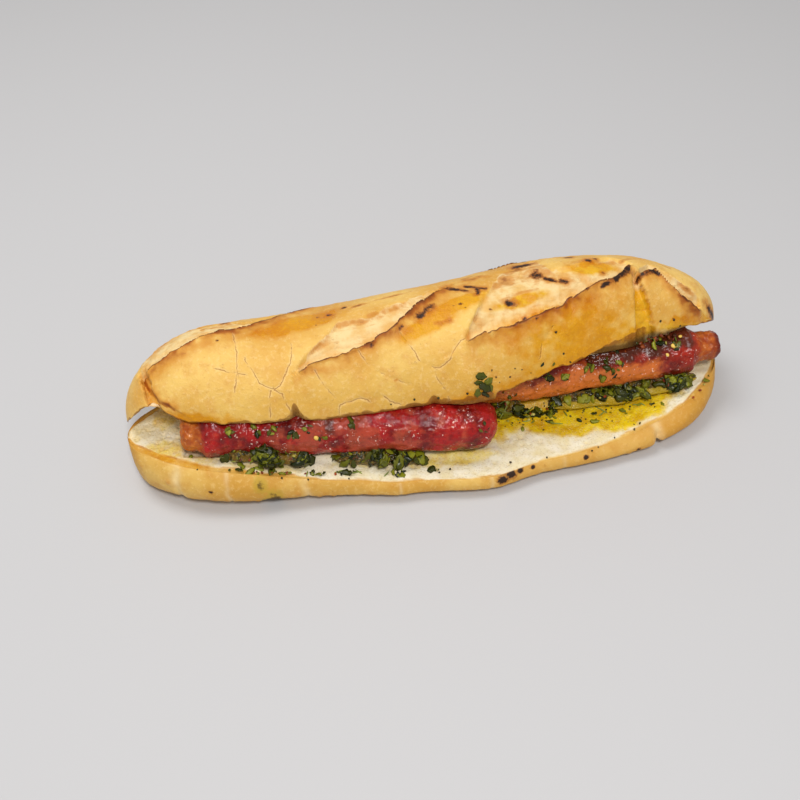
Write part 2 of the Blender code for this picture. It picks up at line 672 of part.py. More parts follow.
def main():
    for old in list(bpy.data.objects):
        bpy.data.objects.remove(old)
    draw = random.Random(7)
    sandwich = bpy.data.collections.new("sausage_sandwich")
    bpy.context.scene.collection.children.link(sandwich)
    crust = material("crust", (0.72, 0.42, 0.13), 0.55)
    crumb = material("cut_bread", (0.78, 0.56, 0.24), 0.75)
    casing = material("casing", (0.34, 0.045, 0.030), 0.28)
    grilled = material("grilled_casing", (0.36, 0.065, 0.040), 0.32)
    herbs = material("herbs", (0.055, 0.095, 0.012), 0.40)

    heel = wrapped_sphere("bread_bottom", HEEL_ALONG, HEEL_AROUND, heel_point, sandwich, crumb)
    crown = wrapped_sphere("bread_top", CROWN_ALONG, CROWN_AROUND, crown_point, sandwich, crust)
    size = (SAUSAGE_ALONG, SAUSAGE_AROUND)
    left = wrapped_sphere("sausage_left", *size, sausage_point(LEFT_SAUSAGE), sandwich, casing)
    right = wrapped_sphere("sausage_right", *size, sausage_point(RIGHT_SAUSAGE), sandwich, grilled)

    surface = surface_of(heel)
    for name, heap in HEAPS.items():
        add_heap(name, heap, surface, sandwich, herbs, draw)

    add_flakes(left, around_sausage(LEFT_SAUSAGE, FLAKES_ON_LEFT), herbs, draw)
    add_flakes(right, around_sausage(RIGHT_SAUSAGE, FLAKES_ON_RIGHT), herbs, draw)
    down = Vector((0.0, 0.0, -1.0))
    add_flakes(heel, [(Vector((x, y, 0.1)), down, length) for x, y, length in FLAKES_ON_HEEL], herbs, draw)
    back = Vector((0.0, 1.0, -0.45)).normalized()
    aimed = [(Vector((x, y, z)) - 0.05 * back, back, length) for x, y, z, length in FLAKES_ON_CROWN]
    add_flakes(crown, aimed, herbs, draw)


main()
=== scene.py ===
"""Looks of the grilled sausage sandwich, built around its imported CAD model.

Metres, +Z up, in the frame of the CAD model. Each large piece is a fine grid laid out by a function
of two numbers: the station along the piece, from -1 to 1, and the turn around it, from 0 to 1.
"""

import itertools
import math
import random

import bpy
import numpy as np
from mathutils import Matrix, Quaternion, Vector


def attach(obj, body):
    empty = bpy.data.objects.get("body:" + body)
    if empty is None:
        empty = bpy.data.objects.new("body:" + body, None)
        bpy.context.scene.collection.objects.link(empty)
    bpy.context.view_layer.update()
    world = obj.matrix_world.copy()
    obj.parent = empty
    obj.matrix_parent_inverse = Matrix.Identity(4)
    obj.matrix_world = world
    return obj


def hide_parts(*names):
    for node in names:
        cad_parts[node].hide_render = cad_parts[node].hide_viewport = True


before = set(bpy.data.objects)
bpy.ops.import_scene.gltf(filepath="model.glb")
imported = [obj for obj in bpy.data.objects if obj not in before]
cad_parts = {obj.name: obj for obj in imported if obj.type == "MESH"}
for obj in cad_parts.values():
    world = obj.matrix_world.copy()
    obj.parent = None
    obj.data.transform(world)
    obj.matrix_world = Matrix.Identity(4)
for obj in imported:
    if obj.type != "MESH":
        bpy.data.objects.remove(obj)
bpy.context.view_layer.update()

# Middle of the sandwich's outline, as in the part's source
CENTRE = np.array([0.0125, -0.0165, 0.0])
PRESS_GAP = 0.0006

# Lower half of the roll
HEEL_X = 0.0115
HEEL_Y = -0.0165
HEEL_YAW = 0.005
HEEL_HALF_LENGTH = 0.1325
HEEL_HALF_WIDTH = 0.04
HEEL_LEFT_SHARPNESS = 3.6
HEEL_RIGHT_SHARPNESS = 4.6
HEEL_BACK_EDGE = 0.0165
HEEL_HOLLOW = 0.002
HEEL_UNDER_RADIUS = 0.015
HEEL_UNDER_LIFT = 0.011
HEEL_INSET = 0.0025
HEEL_END_INSET = 0.0045
HEEL_FACE_SHARE = 0.46
HEEL_BULGE = [
    (-1.0, 0), (-0.75, 0), (-0.5, -3), (-0.36, -1.9), (-0.29, -1.3), (-0.22, 0.3), (-0.155, 2.6),
    (-0.09, 2.4), (-0.02, 3.6), (0.05, 5.2), (0.12, 7.0), (0.185, 6.2), (0.25, 4.2), (0.32, 2.2),
    (0.46, 2.4), (0.6, 1.8), (0.8, 2.5), (0.9, 3.5), (1.0, 3.0),
]
HEEL_FRONT_EDGE = [
    (-1.0, 21.5), (-0.85, 21.5), (-0.7, 20.0), (-0.6, 18.0), (-0.5, 15.0), (-0.35, 11.8), (-0.2, 9.8),
    (0.0, 8.8), (0.4, 8.6), (0.55, 8.8), (0.65, 9.6), (0.75, 11.8), (0.85, 15.0), (0.95, 18.0),
    (1.0, 19.5),
]

# Upper half of the roll
CROWN_X = 0.0125
CROWN_Y = -0.0065
CROWN_YAW = 0.007
CROWN_HALF_LENGTH = 0.1335
CROWN_HALF_WIDTH = 0.0335
CROWN_HEIGHT = 0.035
CROWN_SHOULDER = 0.005
CROWN_WAIST = 0.003
CROWN_LEFT_SHOULDER = 0.0052
CROWN_LEFT_SHARPNESS = 3.4
CROWN_RIGHT_SHARPNESS = 2.7
CROWN_REST = 0.0172
CROWN_RISE = 0.003
CROWN_END_LIFT = 0.007
CROWN_TILT = math.radians(16.5)
CROWN_FULLNESS = 2.2
CROWN_ARCH = 0.003
CROWN_FACE_SHARE = 0.26
CROWN_AROUND = 226
CROWN_ARC = 0.108
FRONT_LIFT = [
    (-1.0, 12), (-0.93, 27), (-0.9, 32), (-0.86, 20), (-0.8, 8), (-0.7, 6), (-0.6, 4.5), (-0.48, 2.5),
    (-0.445, 9), (-0.4, 1), (0.15, 0), (0.3, 1.5), (0.45, 6), (0.6, 11), (0.7, 15), (0.76, 12),
    (0.82, 14), (0.9, 8), (1.0, 8),
]
FRONT_DRAWN_IN = [
    (-1.0, 0.0), (0.0, 0.0), (0.06, -0.07), (0.11, -0.12), (0.16, -0.06), (0.3, 0.0), (0.45, 0.06),
    (0.6, 0.12), (0.75, 0.14), (0.9, 0.14), (1.0, 0.0),
]

# Scored cuts in the crown: the raised front edge, the edge at the back of the opened floor, and
# the ragged line up to which the floor stayed pale. Points (x, v) in mm from left to right.
SCORES = {
    "left": {
        "depth": 0.4,
        "ear": [
            (-113, -6), (-107.7, -7.4), (-98.3, -8), (-89.2, -5.6), (-81.4, -3), (-74.5, -1.2),
            (-65.4, 0), (-60.2, 2.6), (-52.4, 4), (-40, 10), (-30, 16),
        ],
        "back": [
            (-113, -3), (-107, 6), (-96.7, 9.2), (-88, 11), (-74, 11.5), (-66, 9.5), (-60, 10.5),
            (-45, 15.2), (-30, 17),
        ],
        "pale": [
            (-113, -3), (-107.5, 6.5), (-96.7, 9.5), (-87.9, 11.2), (-78.4, 8.3), (-75.3, 12.6),
            (-67.4, 6.2), (-60, 7.0), (-52, 7.6), (-30, 16.5),
        ],
    },
    "middle": {
        "depth": 1.0,
        "ear": [
            (-53, -37), (-51.8, -35.7), (-48.4, -32.1), (-43.4, -30), (-37, -27.7), (-29.1, -26.6),
            (-20.7, -25.5), (-12.9, -23.6), (-6.5, -21), (-1.1, -17.5), (3.8, -12.6), (8.7, -8.8),
            (15.6, -4.6), (20.5, -2.4), (34, 6),
        ],
        "back": [
            (-53, -36), (-39.6, -21.6), (-31.1, -13.6), (-25.8, -7.4), (-19.3, -7.7), (-13.5, -7),
            (-5.3, -4.8), (5.2, -2.2), (14.2, 0.3), (20.5, 1.2), (34, 7),
        ],
        "pale": [
            (-53, -36), (-39.6, -21.6), (-31.1, -14.2), (-25.8, -6.7), (-19.3, -8.7), (-13.5, -8.3),
            (-5.3, -5.2), (5.2, -2.5), (14.2, -0.2), (20.5, -0.9), (34, 6.5),
        ],
    },
    "right": {
        "depth": 1.0,
        "ear": [
            (11, -41), (13.5, -38.9), (23.3, -31.2), (33.4, -28.7), (42.6, -28.9), (49.1, -28.4),
            (54.4, -27.6), (61, -26.4), (67.8, -24.7), (74.4, -21.8), (79.9, -19.6), (84.9, -17.9),
            (91.8, -16.2), (97.1, -13.9), (101, -9), (106, -4),
        ],
        "back": [
            (11, -40), (18.1, -33.8), (25.4, -28.6), (28.9, -23), (33, -16.1), (39.2, -8.4), (46.7, 0),
            (57, 1), (67, -1.5), (75, -3.6), (83.7, -2), (95, 3), (106, -3),
        ],
        "pale": [
            (11, -40), (18.1, -33.8), (25.4, -28.8), (28.9, -23), (33, -16.1), (39.2, -8.6), (46.7, 0.7),
            (55, 3), (62.6, 9.5), (67.8, -2.7), (75, -5.5), (83.7, -3.4), (95, 1), (106, -3),
        ],
    },
    "tip": {
        "depth": 1.0,
        "ear": [
            (103, -13), (105.7, -12.2), (111.2, -9.6), (113.8, -8.4), (118.4, -14.1), (123.1, -17.4),
            (129, -18.6), (137, -18),
        ],
        "back": [
            (103, -12), (108, -6), (113, -1), (119.3, -6.3), (125.4, -10), (131, -12.6), (137, -15),
        ],
        "pale": [
            (103, -12), (108, -6), (113, -2), (119.3, -7.3), (125.4, -10.3), (131, -13), (137, -15),
        ],
    },
    "back_left": {
        "depth": 1.0,
        "ear": [
            (-80, 34), (-55, 27), (-20, 30), (0, 40),
        ],
        "back": [
            (-80, 35), (-55, 38), (-20, 41), (0, 41),
        ],
        "pale": [
            (-80, 35), (-55, 38), (-20, 41), (0, 41),
        ],
    },
    "back_right": {
        "depth": 1.0,
        "ear": [
            (30, 30), (55, 22), (85, 26), (105, 32),
        ],
        "back": [
            (30, 31), (55, 34), (85, 37), (105, 33),
        ],
        "pale": [
            (30, 31), (55, 34), (85, 37), (105, 33),
        ],
    },
}
SCORE_DEPTH = 0.004
SCORE_BACK_STEP = 0.001
SCORE_SWELL = 0.0008
EAR_HEIGHT = 0.0022
EAR_LENGTH = 0.007

# Torn clefts in the crown: x, v and half width in mm at the top and at the bottom
CLEFTS = [(103.0, -8, 1.0, 106.5, -40, 5.6), (-109.5, -4, 1.6, -104.0, -30, 2.4)]
CLEFT_DEPTH = 0.0045

# Left edge of the largest plate, where it stands up over the tip: (x, v) in mm
PLATE_EDGE = [
    (-109, -6), (-108, -11.1), (-106, -17.2), (-102, -23.8), (-96.4, -30),
]

# Fine cracks in the crown's crust, points (x, v) in mm
CRACKS = [
    [(-46.5, -10.8), (-45.6, -16), (-46.8, -24.7), (-50, -31), (-52.2, -34.5)],
    [(-65.5, -18.8), (-63, -25), (-60.2, -31.6), (-56, -35), (-51.8, -38.1), (-51.5, -40.8),
     (-49.5, -46.2)],
    [(-77.8, -21.4), (-72.1, -24.2), (-65.8, -26.5)],
    [(-69.5, -4.4), (-68.5, -14.4), (-69, -24), (-70.8, -32.7)],
    [(-52.2, -34.5), (-56.5, -35.6), (-57.2, -40), (-57.8, -46.5)],
    [(-18.6, -26.8), (-16, -32), (-12.9, -36), (-5.3, -41.8), (0.7, -45.1)],
    [(-0.6, -21.6), (1.7, -26.7), (4, -31), (6, -36), (9.7, -39)],
    [(9.7, -39), (13.7, -40.6), (18.3, -36.8), (20.5, -32.6), (23.6, -29.8), (27, -28.2)],
    [(11.7, -39.8), (11.7, -43), (15, -49.5), (16.5, -54)],
    [(-29.7, -52), (-28.9, -47.9), (-24.6, -47.3), (-20.3, -46.9), (-16.6, -49.1)],
    [(-10.3, -48.2), (-6.3, -52.3), (-4.3, -52.6)],
    [(-37.5, -31), (-34.2, -38.9), (-30.6, -44.1)],
    [(56, -44), (58, -38), (63, -33)],
    [(20, 24), (28, 20), (41, 22)],
    [(-95, 26), (-86, 30), (-84, 38)],
    [(-20, 18), (-8, 21), (2, 17)],
    [(78, 12), (88, 17), (99, 15)],
]

# Charred marks on the crown: a line of (x, v) and a half width, in mm
CHARS = [
    ([(22.6, -1.6), (27.3, -2.4), (31, -4.6)], 1.1), ([(30.6, -1.2), (34.6, -3.3), (38.5, -6)], 0.9),
    ([(34.6, -3.3), (35.4, -6), (34.6, -8.7)], 1.0), ([(8.3, -15.4), (11, -13.3), (14.2, -10.4)], 1.6),
    ([(54, 6.4), (61, 5)], 2.0), ([(61, -3), (62.5, -4.5)], 2.6), ([(64.5, -6.8), (69, -10.3)], 1.1),
    ([(71.2, -10.2), (73.5, -11.4)], 1.5), ([(78, 7), (80.5, 6.6)], 1.1),
    ([(47, -16.4), (48.4, -17.2)], 1.9), ([(92.8, -16.6), (98.1, -12.6), (101.4, -9.4)], 1.6),
    ([(86.5, -19.2), (90, -17.6)], 0.9), ([(85.2, -0.4), (86.4, -0.4)], 1.1),
    ([(89, 0.6), (90, 0.6)], 0.8), ([(90.6, -8), (91, -8.4)], 0.9),
    ([(105.5, -12.7), (108.8, -11.2), (112.1, -9.8), (114.6, -10.8)], 1.3),
    ([(139.5, -13), (143, -11)], 1.8), ([(-22, 3), (-21.6, 3)], 1.1), ([(-27.8, -0.4), (-29.4, 0)], 0.9),
    ([(-13.4, -25.2), (-13, -25)], 1.0), ([(23, -12.5), (23.2, -12.5)], 0.6),
    ([(26.3, -12), (26.5, -12)], 0.7), ([(28, -14.7), (28.2, -14.7)], 0.5),
    ([(38.3, -17.5), (38.5, -17.5)], 0.6), ([(64.2, -35.3), (64.6, -35)], 0.7),
    ([(52.4, -25.8), (52.9, -25.5)], 0.9), ([(43.2, -28.9), (44, -28.8)], 0.7),
    ([(55.9, -28.2), (56.4, -28)], 0.8), ([(68.7, -24.6), (69.2, -24.4)], 0.9),
    ([(79.6, -19.8), (80.4, -19.6)], 0.9), ([(34.9, -44.5), (35, -44.5)], 0.5),
    ([(36.6, -47.6), (36.7, -47.6)], 0.6), ([(42.6, -48.8), (42.7, -48.8)], 0.6),
    ([(-0.6, -20), (0.6, -19)], 0.9), ([(-34, -0.2), (-33.8, -0.2)], 0.6),
    ([(-35, -6), (-34.8, -6)], 0.5), ([(-75, 11), (-72, 11.6)], 0.9), ([(-76.2, -7.3), (-76, -7.3)], 0.6),
    ([(119.6, -28.8), (119.9, -28.6)], 0.6), ([(40, 31), (43, 30)], 1.3), ([(64, 25), (68, 24)], 1.2),
    ([(-60, 29), (-56, 28.4)], 1.1), ([(92, 27), (94, 27.6)], 1.0), ([(-20, 31.5), (-16, 32.4)], 1.0),
]

# Toasted streaks on the crown: a line of (x, v) and a half width, in mm
STREAKS = [
    ([(-17.3, -8), (-10.9, -7), (-5, -6)], 1.5), ([(-3.6, -5.7), (3.7, -3.3), (10.7, -1.6)], 1.7),
    ([(10.7, -1.9), (15.7, -3.2), (21, -2.6)], 1.2), ([(-91.4, 8.8), (-79.4, 10.6)], 0.9),
    ([(31, 6), (38, 8.4)], 1.3), ([(-84, 5.5), (-70, 7)], 0.7),
    ([(-27, -3), (-18, 1), (-6, 3.5), (8, 4.5)], 1.1), ([(14.2, -21), (20, -19.4)], 2.6),
    ([(-4.6, -42), (-5.4, -42.3)], 0.7), ([(44, -14), (52, -12), (60, -12.6)], 1.4),
    ([(50, 2), (58, 2.4), (66, 0)], 2.0), ([(100, -1), (112, 4), (124, 0)], 1.2),
    ([(18, 0.5), (30, 2.5), (40, 4)], 3.6),
]

LEFT_SAUSAGE = {
    "axis": ((-0.097, -0.029, 0.0285), (-0.055, -0.032, 0.025), (-0.005, -0.0365, 0.0226),
        (0.037, -0.042, 0.0216)),
    "radius": 0.0107,
    "tip_radius": 0.0088,
    "tip_share": 0.08,
}
RIGHT_SAUSAGE = {
    "axis": ((0.143, -0.017, 0.0282), (0.105, -0.0165, 0.026), (0.06, -0.0165, 0.0232),
        (0.016, -0.012, 0.0222)),
    "radius": 0.0106,
    "tip_radius": 0.0064,
    "tip_share": 0.11,
}


def heap_of(sausage, start, end, spread, rise, reach, dense):
    """One heap: its place along a sausage, how far it spreads, and how many leaves lie on each mm."""
    return {
        "beside": sausage, "from": start, "to": end, "spread": spread, "rise": rise, "reach": reach,
        "dense": dense,
    }


HEAPS = {
    "chimichurri_left": heap_of(LEFT_SAUSAGE, -0.08, -0.043, 0.0062, 0.0085, 0.58, 2.6),
    "chimichurri_middle": heap_of(LEFT_SAUSAGE, -0.034, 0.005, 0.0048, 0.007, 0.58, 1.6),
    "chimichurri_centre": heap_of(RIGHT_SAUSAGE, 0.039, 0.052, 0.005, 0.0065, 0.54, 2.5),
    "chimichurri_right": heap_of(RIGHT_SAUSAGE, 0.064, 0.132, 0.006, 0.007, 0.5, 2.4),
}

# Single leaves: x in mm, degrees from straight up towards the front, and length
LEAVES_ON_LEFT = [
    (-76, 44, 1.0), (-65, 52, 0.8), (-58, 48, 0.9), (-50, 56, 1.0), (-43, 44, 0.9), (-37, 66, 0.8),
    (-24.5, 38, 0.8), (30, 50, 0.6),
]
LEAVES_ON_RIGHT = [
    (45, 84, 1.0), (63.5, 58, 1.0), (70, 62, 0.9), (80.6, 46, 1.1), (88.9, 46, 1.0), (94.6, 54, 0.9),
    (86.4, 80, 0.9), (92, 74, 1.0), (108.4, 2, 1.1), (112.9, 16, 1.0), (119, 38, 0.9),
]
LEAVES_ON_HEEL = [
    (82.4, -36.9, 0.9), (-69.8, -48, 1.2), (-60.8, -47.5, 1.0), (50, -36, 0.7), (-66, -46.5, 1.0),
    (-57, -45, 0.7), (-73, -44.5, 0.9), (76, -35, 0.7), (96, -33.5, 0.7), (104, -32, 0.6),
    (-94, -37, 0.6), (126, -25, 0.8),
]
LEAVES_ON_CROWN = [
    (31, -50, 3.3), (29, -48, 2.6), (33, -48.5, 2.7), (31.5, -53, 2.5), (30, -45.5, 2.6),
    (28, -51.5, 2.1), (34, -51, 2.1), (57, -46.5, 1.2), (62, -47, 0.9),
]
SPECKS_ON_CROWN = [
    (34.9, -44.5), (36.6, -47.6), (42.6, -48.8), (64.2, -35.3), (48, -47), (52, -49), (38, -50),
    (45, -46), (67, -44), (24, -51.5), (12, -52.5), (2, -51.5), (-8, -51.8), (70, -47.5), (119.7, -28.7),
    (123, -30), (113, -31),
]
SEEDS = [
    (RIGHT_SAUSAGE, 119.1, 34, 1.35), (RIGHT_SAUSAGE, 122.8, 14, 0.8), (RIGHT_SAUSAGE, 115.7, 52, 0.8),
    (RIGHT_SAUSAGE, 44.9, 80, 0.8), (LEFT_SAUSAGE, -40.4, 66, 1.1),
]


# Scattered herbs: how many there are, the first three for each metre of a heap
TUFTS = 110
LOOSE_GROUPS = 220
FEW_LOOSE_GROUPS = 110
DROPS_ON_HEEL = 46
DROPS_BETWEEN_HEAPS = 40
SPECKS_AT_EDGE = 22
SPECKS_ON_HEEL = 50
BROWNED_SCRAPS = 210
STEM_RADIUS = 0.0003
RIGHT_HEAP_FROM = 0.06
UPWARDS = Vector((0.0, 0.0, 1.0))

# Grid of each large piece: stations along it and steps around it
CROWN_ALONG = 430
HEEL_GRID = (380, 190)
LEFT_GRID = (300, 120)
RIGHT_GRID = (290, 120)
SAUCE_GRID = (90, 40)

# The photograph's camera
CAMERA_AZIMUTH = math.radians(-6.1)
CAMERA_ELEVATION = math.radians(46.0)
CAMERA_ROLL = math.radians(-2.7)
CAMERA_AWAY = 0.47
CAMERA_LENS = 45.0
WORLD_LIGHT = 0.42


def smooth(value, low, high):
    """0 below low, 1 above high and an S curve between."""
    part = np.clip((value - low) / (high - low), 0.0, 1.0)
    return part * part * (3.0 - 2.0 * part)


def hump(value, middle, width):
    """A bell of height 1 at middle."""
    return np.exp(-(((value - middle) / width) ** 2))


def taper(station, sharpness):
    """Share of the full section that is left at a station: 1 in the middle and 0 at both tips."""
    return np.sqrt(np.maximum(1.0 - np.abs(station) ** sharpness, 0.0))


def table(station, rows):
    """Reads a table of (station, value) rows, with its corners rounded off."""
    stations, values = np.array(rows, dtype=float).T
    near = [np.interp(station + shift, stations, values) for shift in (-0.03, -0.01, 0.01, 0.03)]
    return sum(near) / len(near)


def hashed(cell, seed):
    """A fixed number from 0 to 1 for each whole-number cell."""
    mixed = (cell[..., 0] * 73856093) ^ (cell[..., 1] * 19349663) ^ (cell[..., 2] * 83492791)
    mixed = mixed ^ (seed * 39916801)
    mixed = mixed & 0x7FFFFFFF
    mixed = ((mixed ^ (mixed >> 13)) * 1274126177) & 0x7FFFFFFF
    return ((mixed ^ (mixed >> 16)) & 0xFFFFF) / 0xFFFFF


def noise(spots, size, seed):
    """Smooth noise from -1 to 1 whose lumps are about one size apart."""
    place = spots / size
    cell = np.floor(place).astype(np.int64)
    part = place - cell
    part = part * part * (3.0 - 2.0 * part)
    total = 0.0
    for corner in itertools.product((0, 1), repeat=3):
        weight = np.prod(np.where(corner, part, 1.0 - part), axis=-1)
        total = total + weight * hashed(cell + np.array(corner), seed)
    return 2.0 * total - 1.0


def layered(spots, size, seed, layers=4):
    """Noise with finer and fainter layers on top, about from -1 to 1."""
    total = sum(noise(spots, size / 2.0**layer, seed + layer) / 2.0**layer for layer in range(layers))
    return total / (2.0 - 2.0 ** (1 - layers)) * 1.4


def nearest_cell(spots, size, seed):
    """Distance to the nearest of one random point per cell, in sizes, and that point's own number."""
    place = spots / size
    cell = np.floor(place).astype(np.int64)
    best = np.full(place.shape[:-1], 9.0)
    number = np.zeros_like(best)
    for shift in itertools.product((-1, 0, 1), repeat=3):
        near = cell + np.array(shift)
        point = near + np.stack([hashed(near, seed + axis) for axis in range(3)], axis=-1)
        away = np.linalg.norm(place - point, axis=-1)
        number = np.where(away < best, hashed(near, seed + 9), number)
        best = np.minimum(best, away)
    return best, number


def flat(x, v):
    """Spots for noise on a flat map."""
    return np.stack([x, v, np.zeros_like(x)], axis=-1)


def nearest_line(x, v, lines):
    """Distance from the nearest of several lines of (x, v) points in mm, negative on one side."""
    best = np.full(x.shape, 9.0)
    signed = best.copy()
    for line in lines:
        points = 0.001 * np.array(line, dtype=float)
        for (x0, v0), (x1, v1) in zip(points[:-1], points[1:]):
            step = np.array([x1 - x0, v1 - v0])
            share = np.clip(((x - x0) * step[0] + (v - v0) * step[1]) / (step @ step), 0.0, 1.0)
            away = np.hypot(x - x0 - share * step[0], v - v0 - share * step[1])
            side = np.sign(step[0] * (v - v0) - step[1] * (x - x0))
            signed = np.where(away < best, away * side, signed)
            best = np.minimum(best, away)
    return signed


def along_points(points, share):
    """Places at these shares of the way along the cubic curve through four points."""
    knots = [number / 3.0 for number in range(4)]
    share = np.asarray(share, dtype=float)
    place = np.zeros(share.shape + (3,))
    for number, point in enumerate(points):
        weight = np.ones_like(share)
        for other in range(4):
            if other != number:
                weight = weight * (share - knots[other]) / (knots[number] - knots[other])
        place += weight[..., None] * np.array(point)
    return place


def axis_at(points, x):
    """y and z of a sausage's axis above or below x, and whether the sausage reaches that x."""
    line = along_points(points, np.linspace(0.0, 1.0, 60))
    line = line[np.argsort(line[:, 0])]
    inside = (x > line[0, 0]) & (x < line[-1, 0])
    return np.interp(x, line[:, 0], line[:, 1]), np.interp(x, line[:, 0], line[:, 2]), inside


def beneath(x, y, wander, low, high):
    """1 along the middle of each sausage, 0 beyond its sides."""
    share = np.zeros_like(x)
    for sausage in (LEFT_SAUSAGE, RIGHT_SAUSAGE):
        axis_y, _, inside = axis_at(sausage["axis"], x)
        share = np.maximum(share, inside * (1.0 - smooth(np.abs(y - axis_y) + wander, low, high)))
    return share


def pressed(x, y, z, under):
    """Crumb meets the round of each sausage: it gives way below (under) or above the sausage."""
    sign = -1.0 if under else 1.0
    for sausage in (LEFT_SAUSAGE, RIGHT_SAUSAGE):
        axis_y, axis_z, inside = axis_at(sausage["axis"], x)
        radius = sausage["radius"]
        offset = np.abs(y - axis_y)
        chord = np.sqrt(np.maximum((radius + PRESS_GAP) ** 2 - offset**2, 0.0))
        limit = axis_z + sign * (chord + PRESS_GAP)
        overlaps = inside & (offset < radius) & (sign * (limit - z) > 0.0)
        meets = np.where(inside, 1.0 - smooth(offset, 0.35 * radius, 0.9 * radius), 0.0)
        z = np.where(overlaps, limit, z + meets * (limit - z))
    return z


def heel_narrow(station):
    """Share of the lower half's full section that is left at a station."""
    return taper(station, np.where(station < 0.0, HEEL_LEFT_SHARPNESS, HEEL_RIGHT_SHARPNESS))


def heel_edges(station):
    """Height of the cut edge at the front and at the back of the lower half."""
    front = 0.001 * table(station, HEEL_FRONT_EDGE)
    return front, HEEL_BACK_EDGE + 0.4 * np.maximum(front - 0.009, 0.0)


def heel_face(x, y):
    """Height of the cut face of the lower half, pressed in under the sausages."""
    station = (x - HEEL_X) / HEEL_HALF_LENGTH
    half_width = HEEL_HALF_WIDTH * heel_narrow(station) + 1e-6
    share = np.clip(0.5 + (y - HEEL_Y - HEEL_YAW * station) / (2.0 * half_width), 0.0, 1.0)
    front, back = heel_edges(station)
    height = front + (back - front) * share - HEEL_HOLLOW * np.sin(np.pi * share)
    return pressed(x, y, height, True)


def heel_layout(station, turn):
    """The lower half: the cut face from the back edge to the front one, then the crust under it."""
    narrow = heel_narrow(station)
    half_width = HEEL_HALF_WIDTH * narrow
    bulge = 0.001 * table(station, HEEL_BULGE) * narrow
    front, back = heel_edges(station)
    x = HEEL_X + station * HEEL_HALF_LENGTH

    inset = np.minimum(HEEL_INSET + HEEL_END_INSET * smooth(np.abs(station), 0.3, 0.8), 0.35 * half_width)
    across = np.clip(turn / HEEL_FACE_SHARE, 0.0, 1.0)
    middle_y = HEEL_Y + HEEL_YAW * station
    face_y = middle_y + (half_width - inset) * (1.0 - 2.0 * across) - bulge * smooth(across, 0.2, 1.0)
    face_z = heel_face(x, face_y)

    under = np.clip((turn - HEEL_FACE_SHARE) / (1.0 - HEEL_FACE_SHARE), 0.0, 1.0)
    side = np.where(under < 0.5, -1.0, 1.0)
    edge = np.where(under < 0.5, front, back)
    depth = 1.0 - 2.0 * np.abs(under - 0.5)
    lip = math.radians(50.0)
    angle = lip - (lip + math.pi / 2.0) * np.clip(depth / 0.75, 0.0, 1.0)
    radius = np.minimum(HEEL_UNDER_RADIUS, 0.6 * half_width)
    above = half_width - inset * (1.0 - np.cos(angle)) / (1.0 - math.cos(lip))
    below = half_width - radius * (1.0 - np.cos(angle))
    reach = np.where(angle > 0.0, above, below) * (1.0 - smooth(depth, 0.75, 1.02))
    height = np.where(angle > 0.0, 0.5 + 0.5 * np.sin(angle) / math.sin(lip), 0.5 + 0.5 * np.sin(angle))
    base = HEEL_UNDER_LIFT * np.clip(1.0 - narrow / 0.5, 0.0, 1.0) ** 2
    crust_y = middle_y + side * reach - bulge * np.where(under < 0.5, 1.0 - smooth(depth, 0.7, 1.0), 0.0)
    crust_z = base + (edge - base) * height

    on_face = turn <= HEEL_FACE_SHARE
    spots = np.stack([x, np.where(on_face, face_y, crust_y), np.where(on_face, face_z, crust_z)], axis=-1)
    from_edge = np.minimum(across, 1.0 - across) * 2.0 * (half_width - inset)
    down = np.where(on_face, 0.0, (edge - base) * (1.0 - height))
    return spots, {
        "station": station, "on_face": on_face, "from_edge": from_edge, "down": down, "narrow": narrow,
        "front": under < 0.5, "across": across, "depth": depth,
    }


def jitter(x, seed):
    """A small wander of a torn edge along x, in metres."""
    spots = flat(x, np.zeros_like(x))
    return 0.0006 * noise(spots, 0.004, seed) + 0.0005 * noise(spots, 0.0016, seed + 1)


def score_lines(x, score, number):
    """The ear, back edge and pale edge of a score at x, with the wander of torn crust."""
    lines = {}
    for order, kind in enumerate(("ear", "back", "pale")):
        line_x, line_v = 0.001 * np.array(score[kind], dtype=float).T
        lines[kind] = np.interp(x, line_x, line_v) + jitter(x, 40 + 7 * number + order)
    first, last = 0.001 * score["ear"][0][0], 0.001 * score["ear"][-1][0]
    lines["back"] = np.maximum(lines["back"], lines["ear"] + 1e-5)
    lines["along"] = smooth(x, first, first + 0.006) * (1.0 - smooth(x, last - 0.006, last))
    return lines


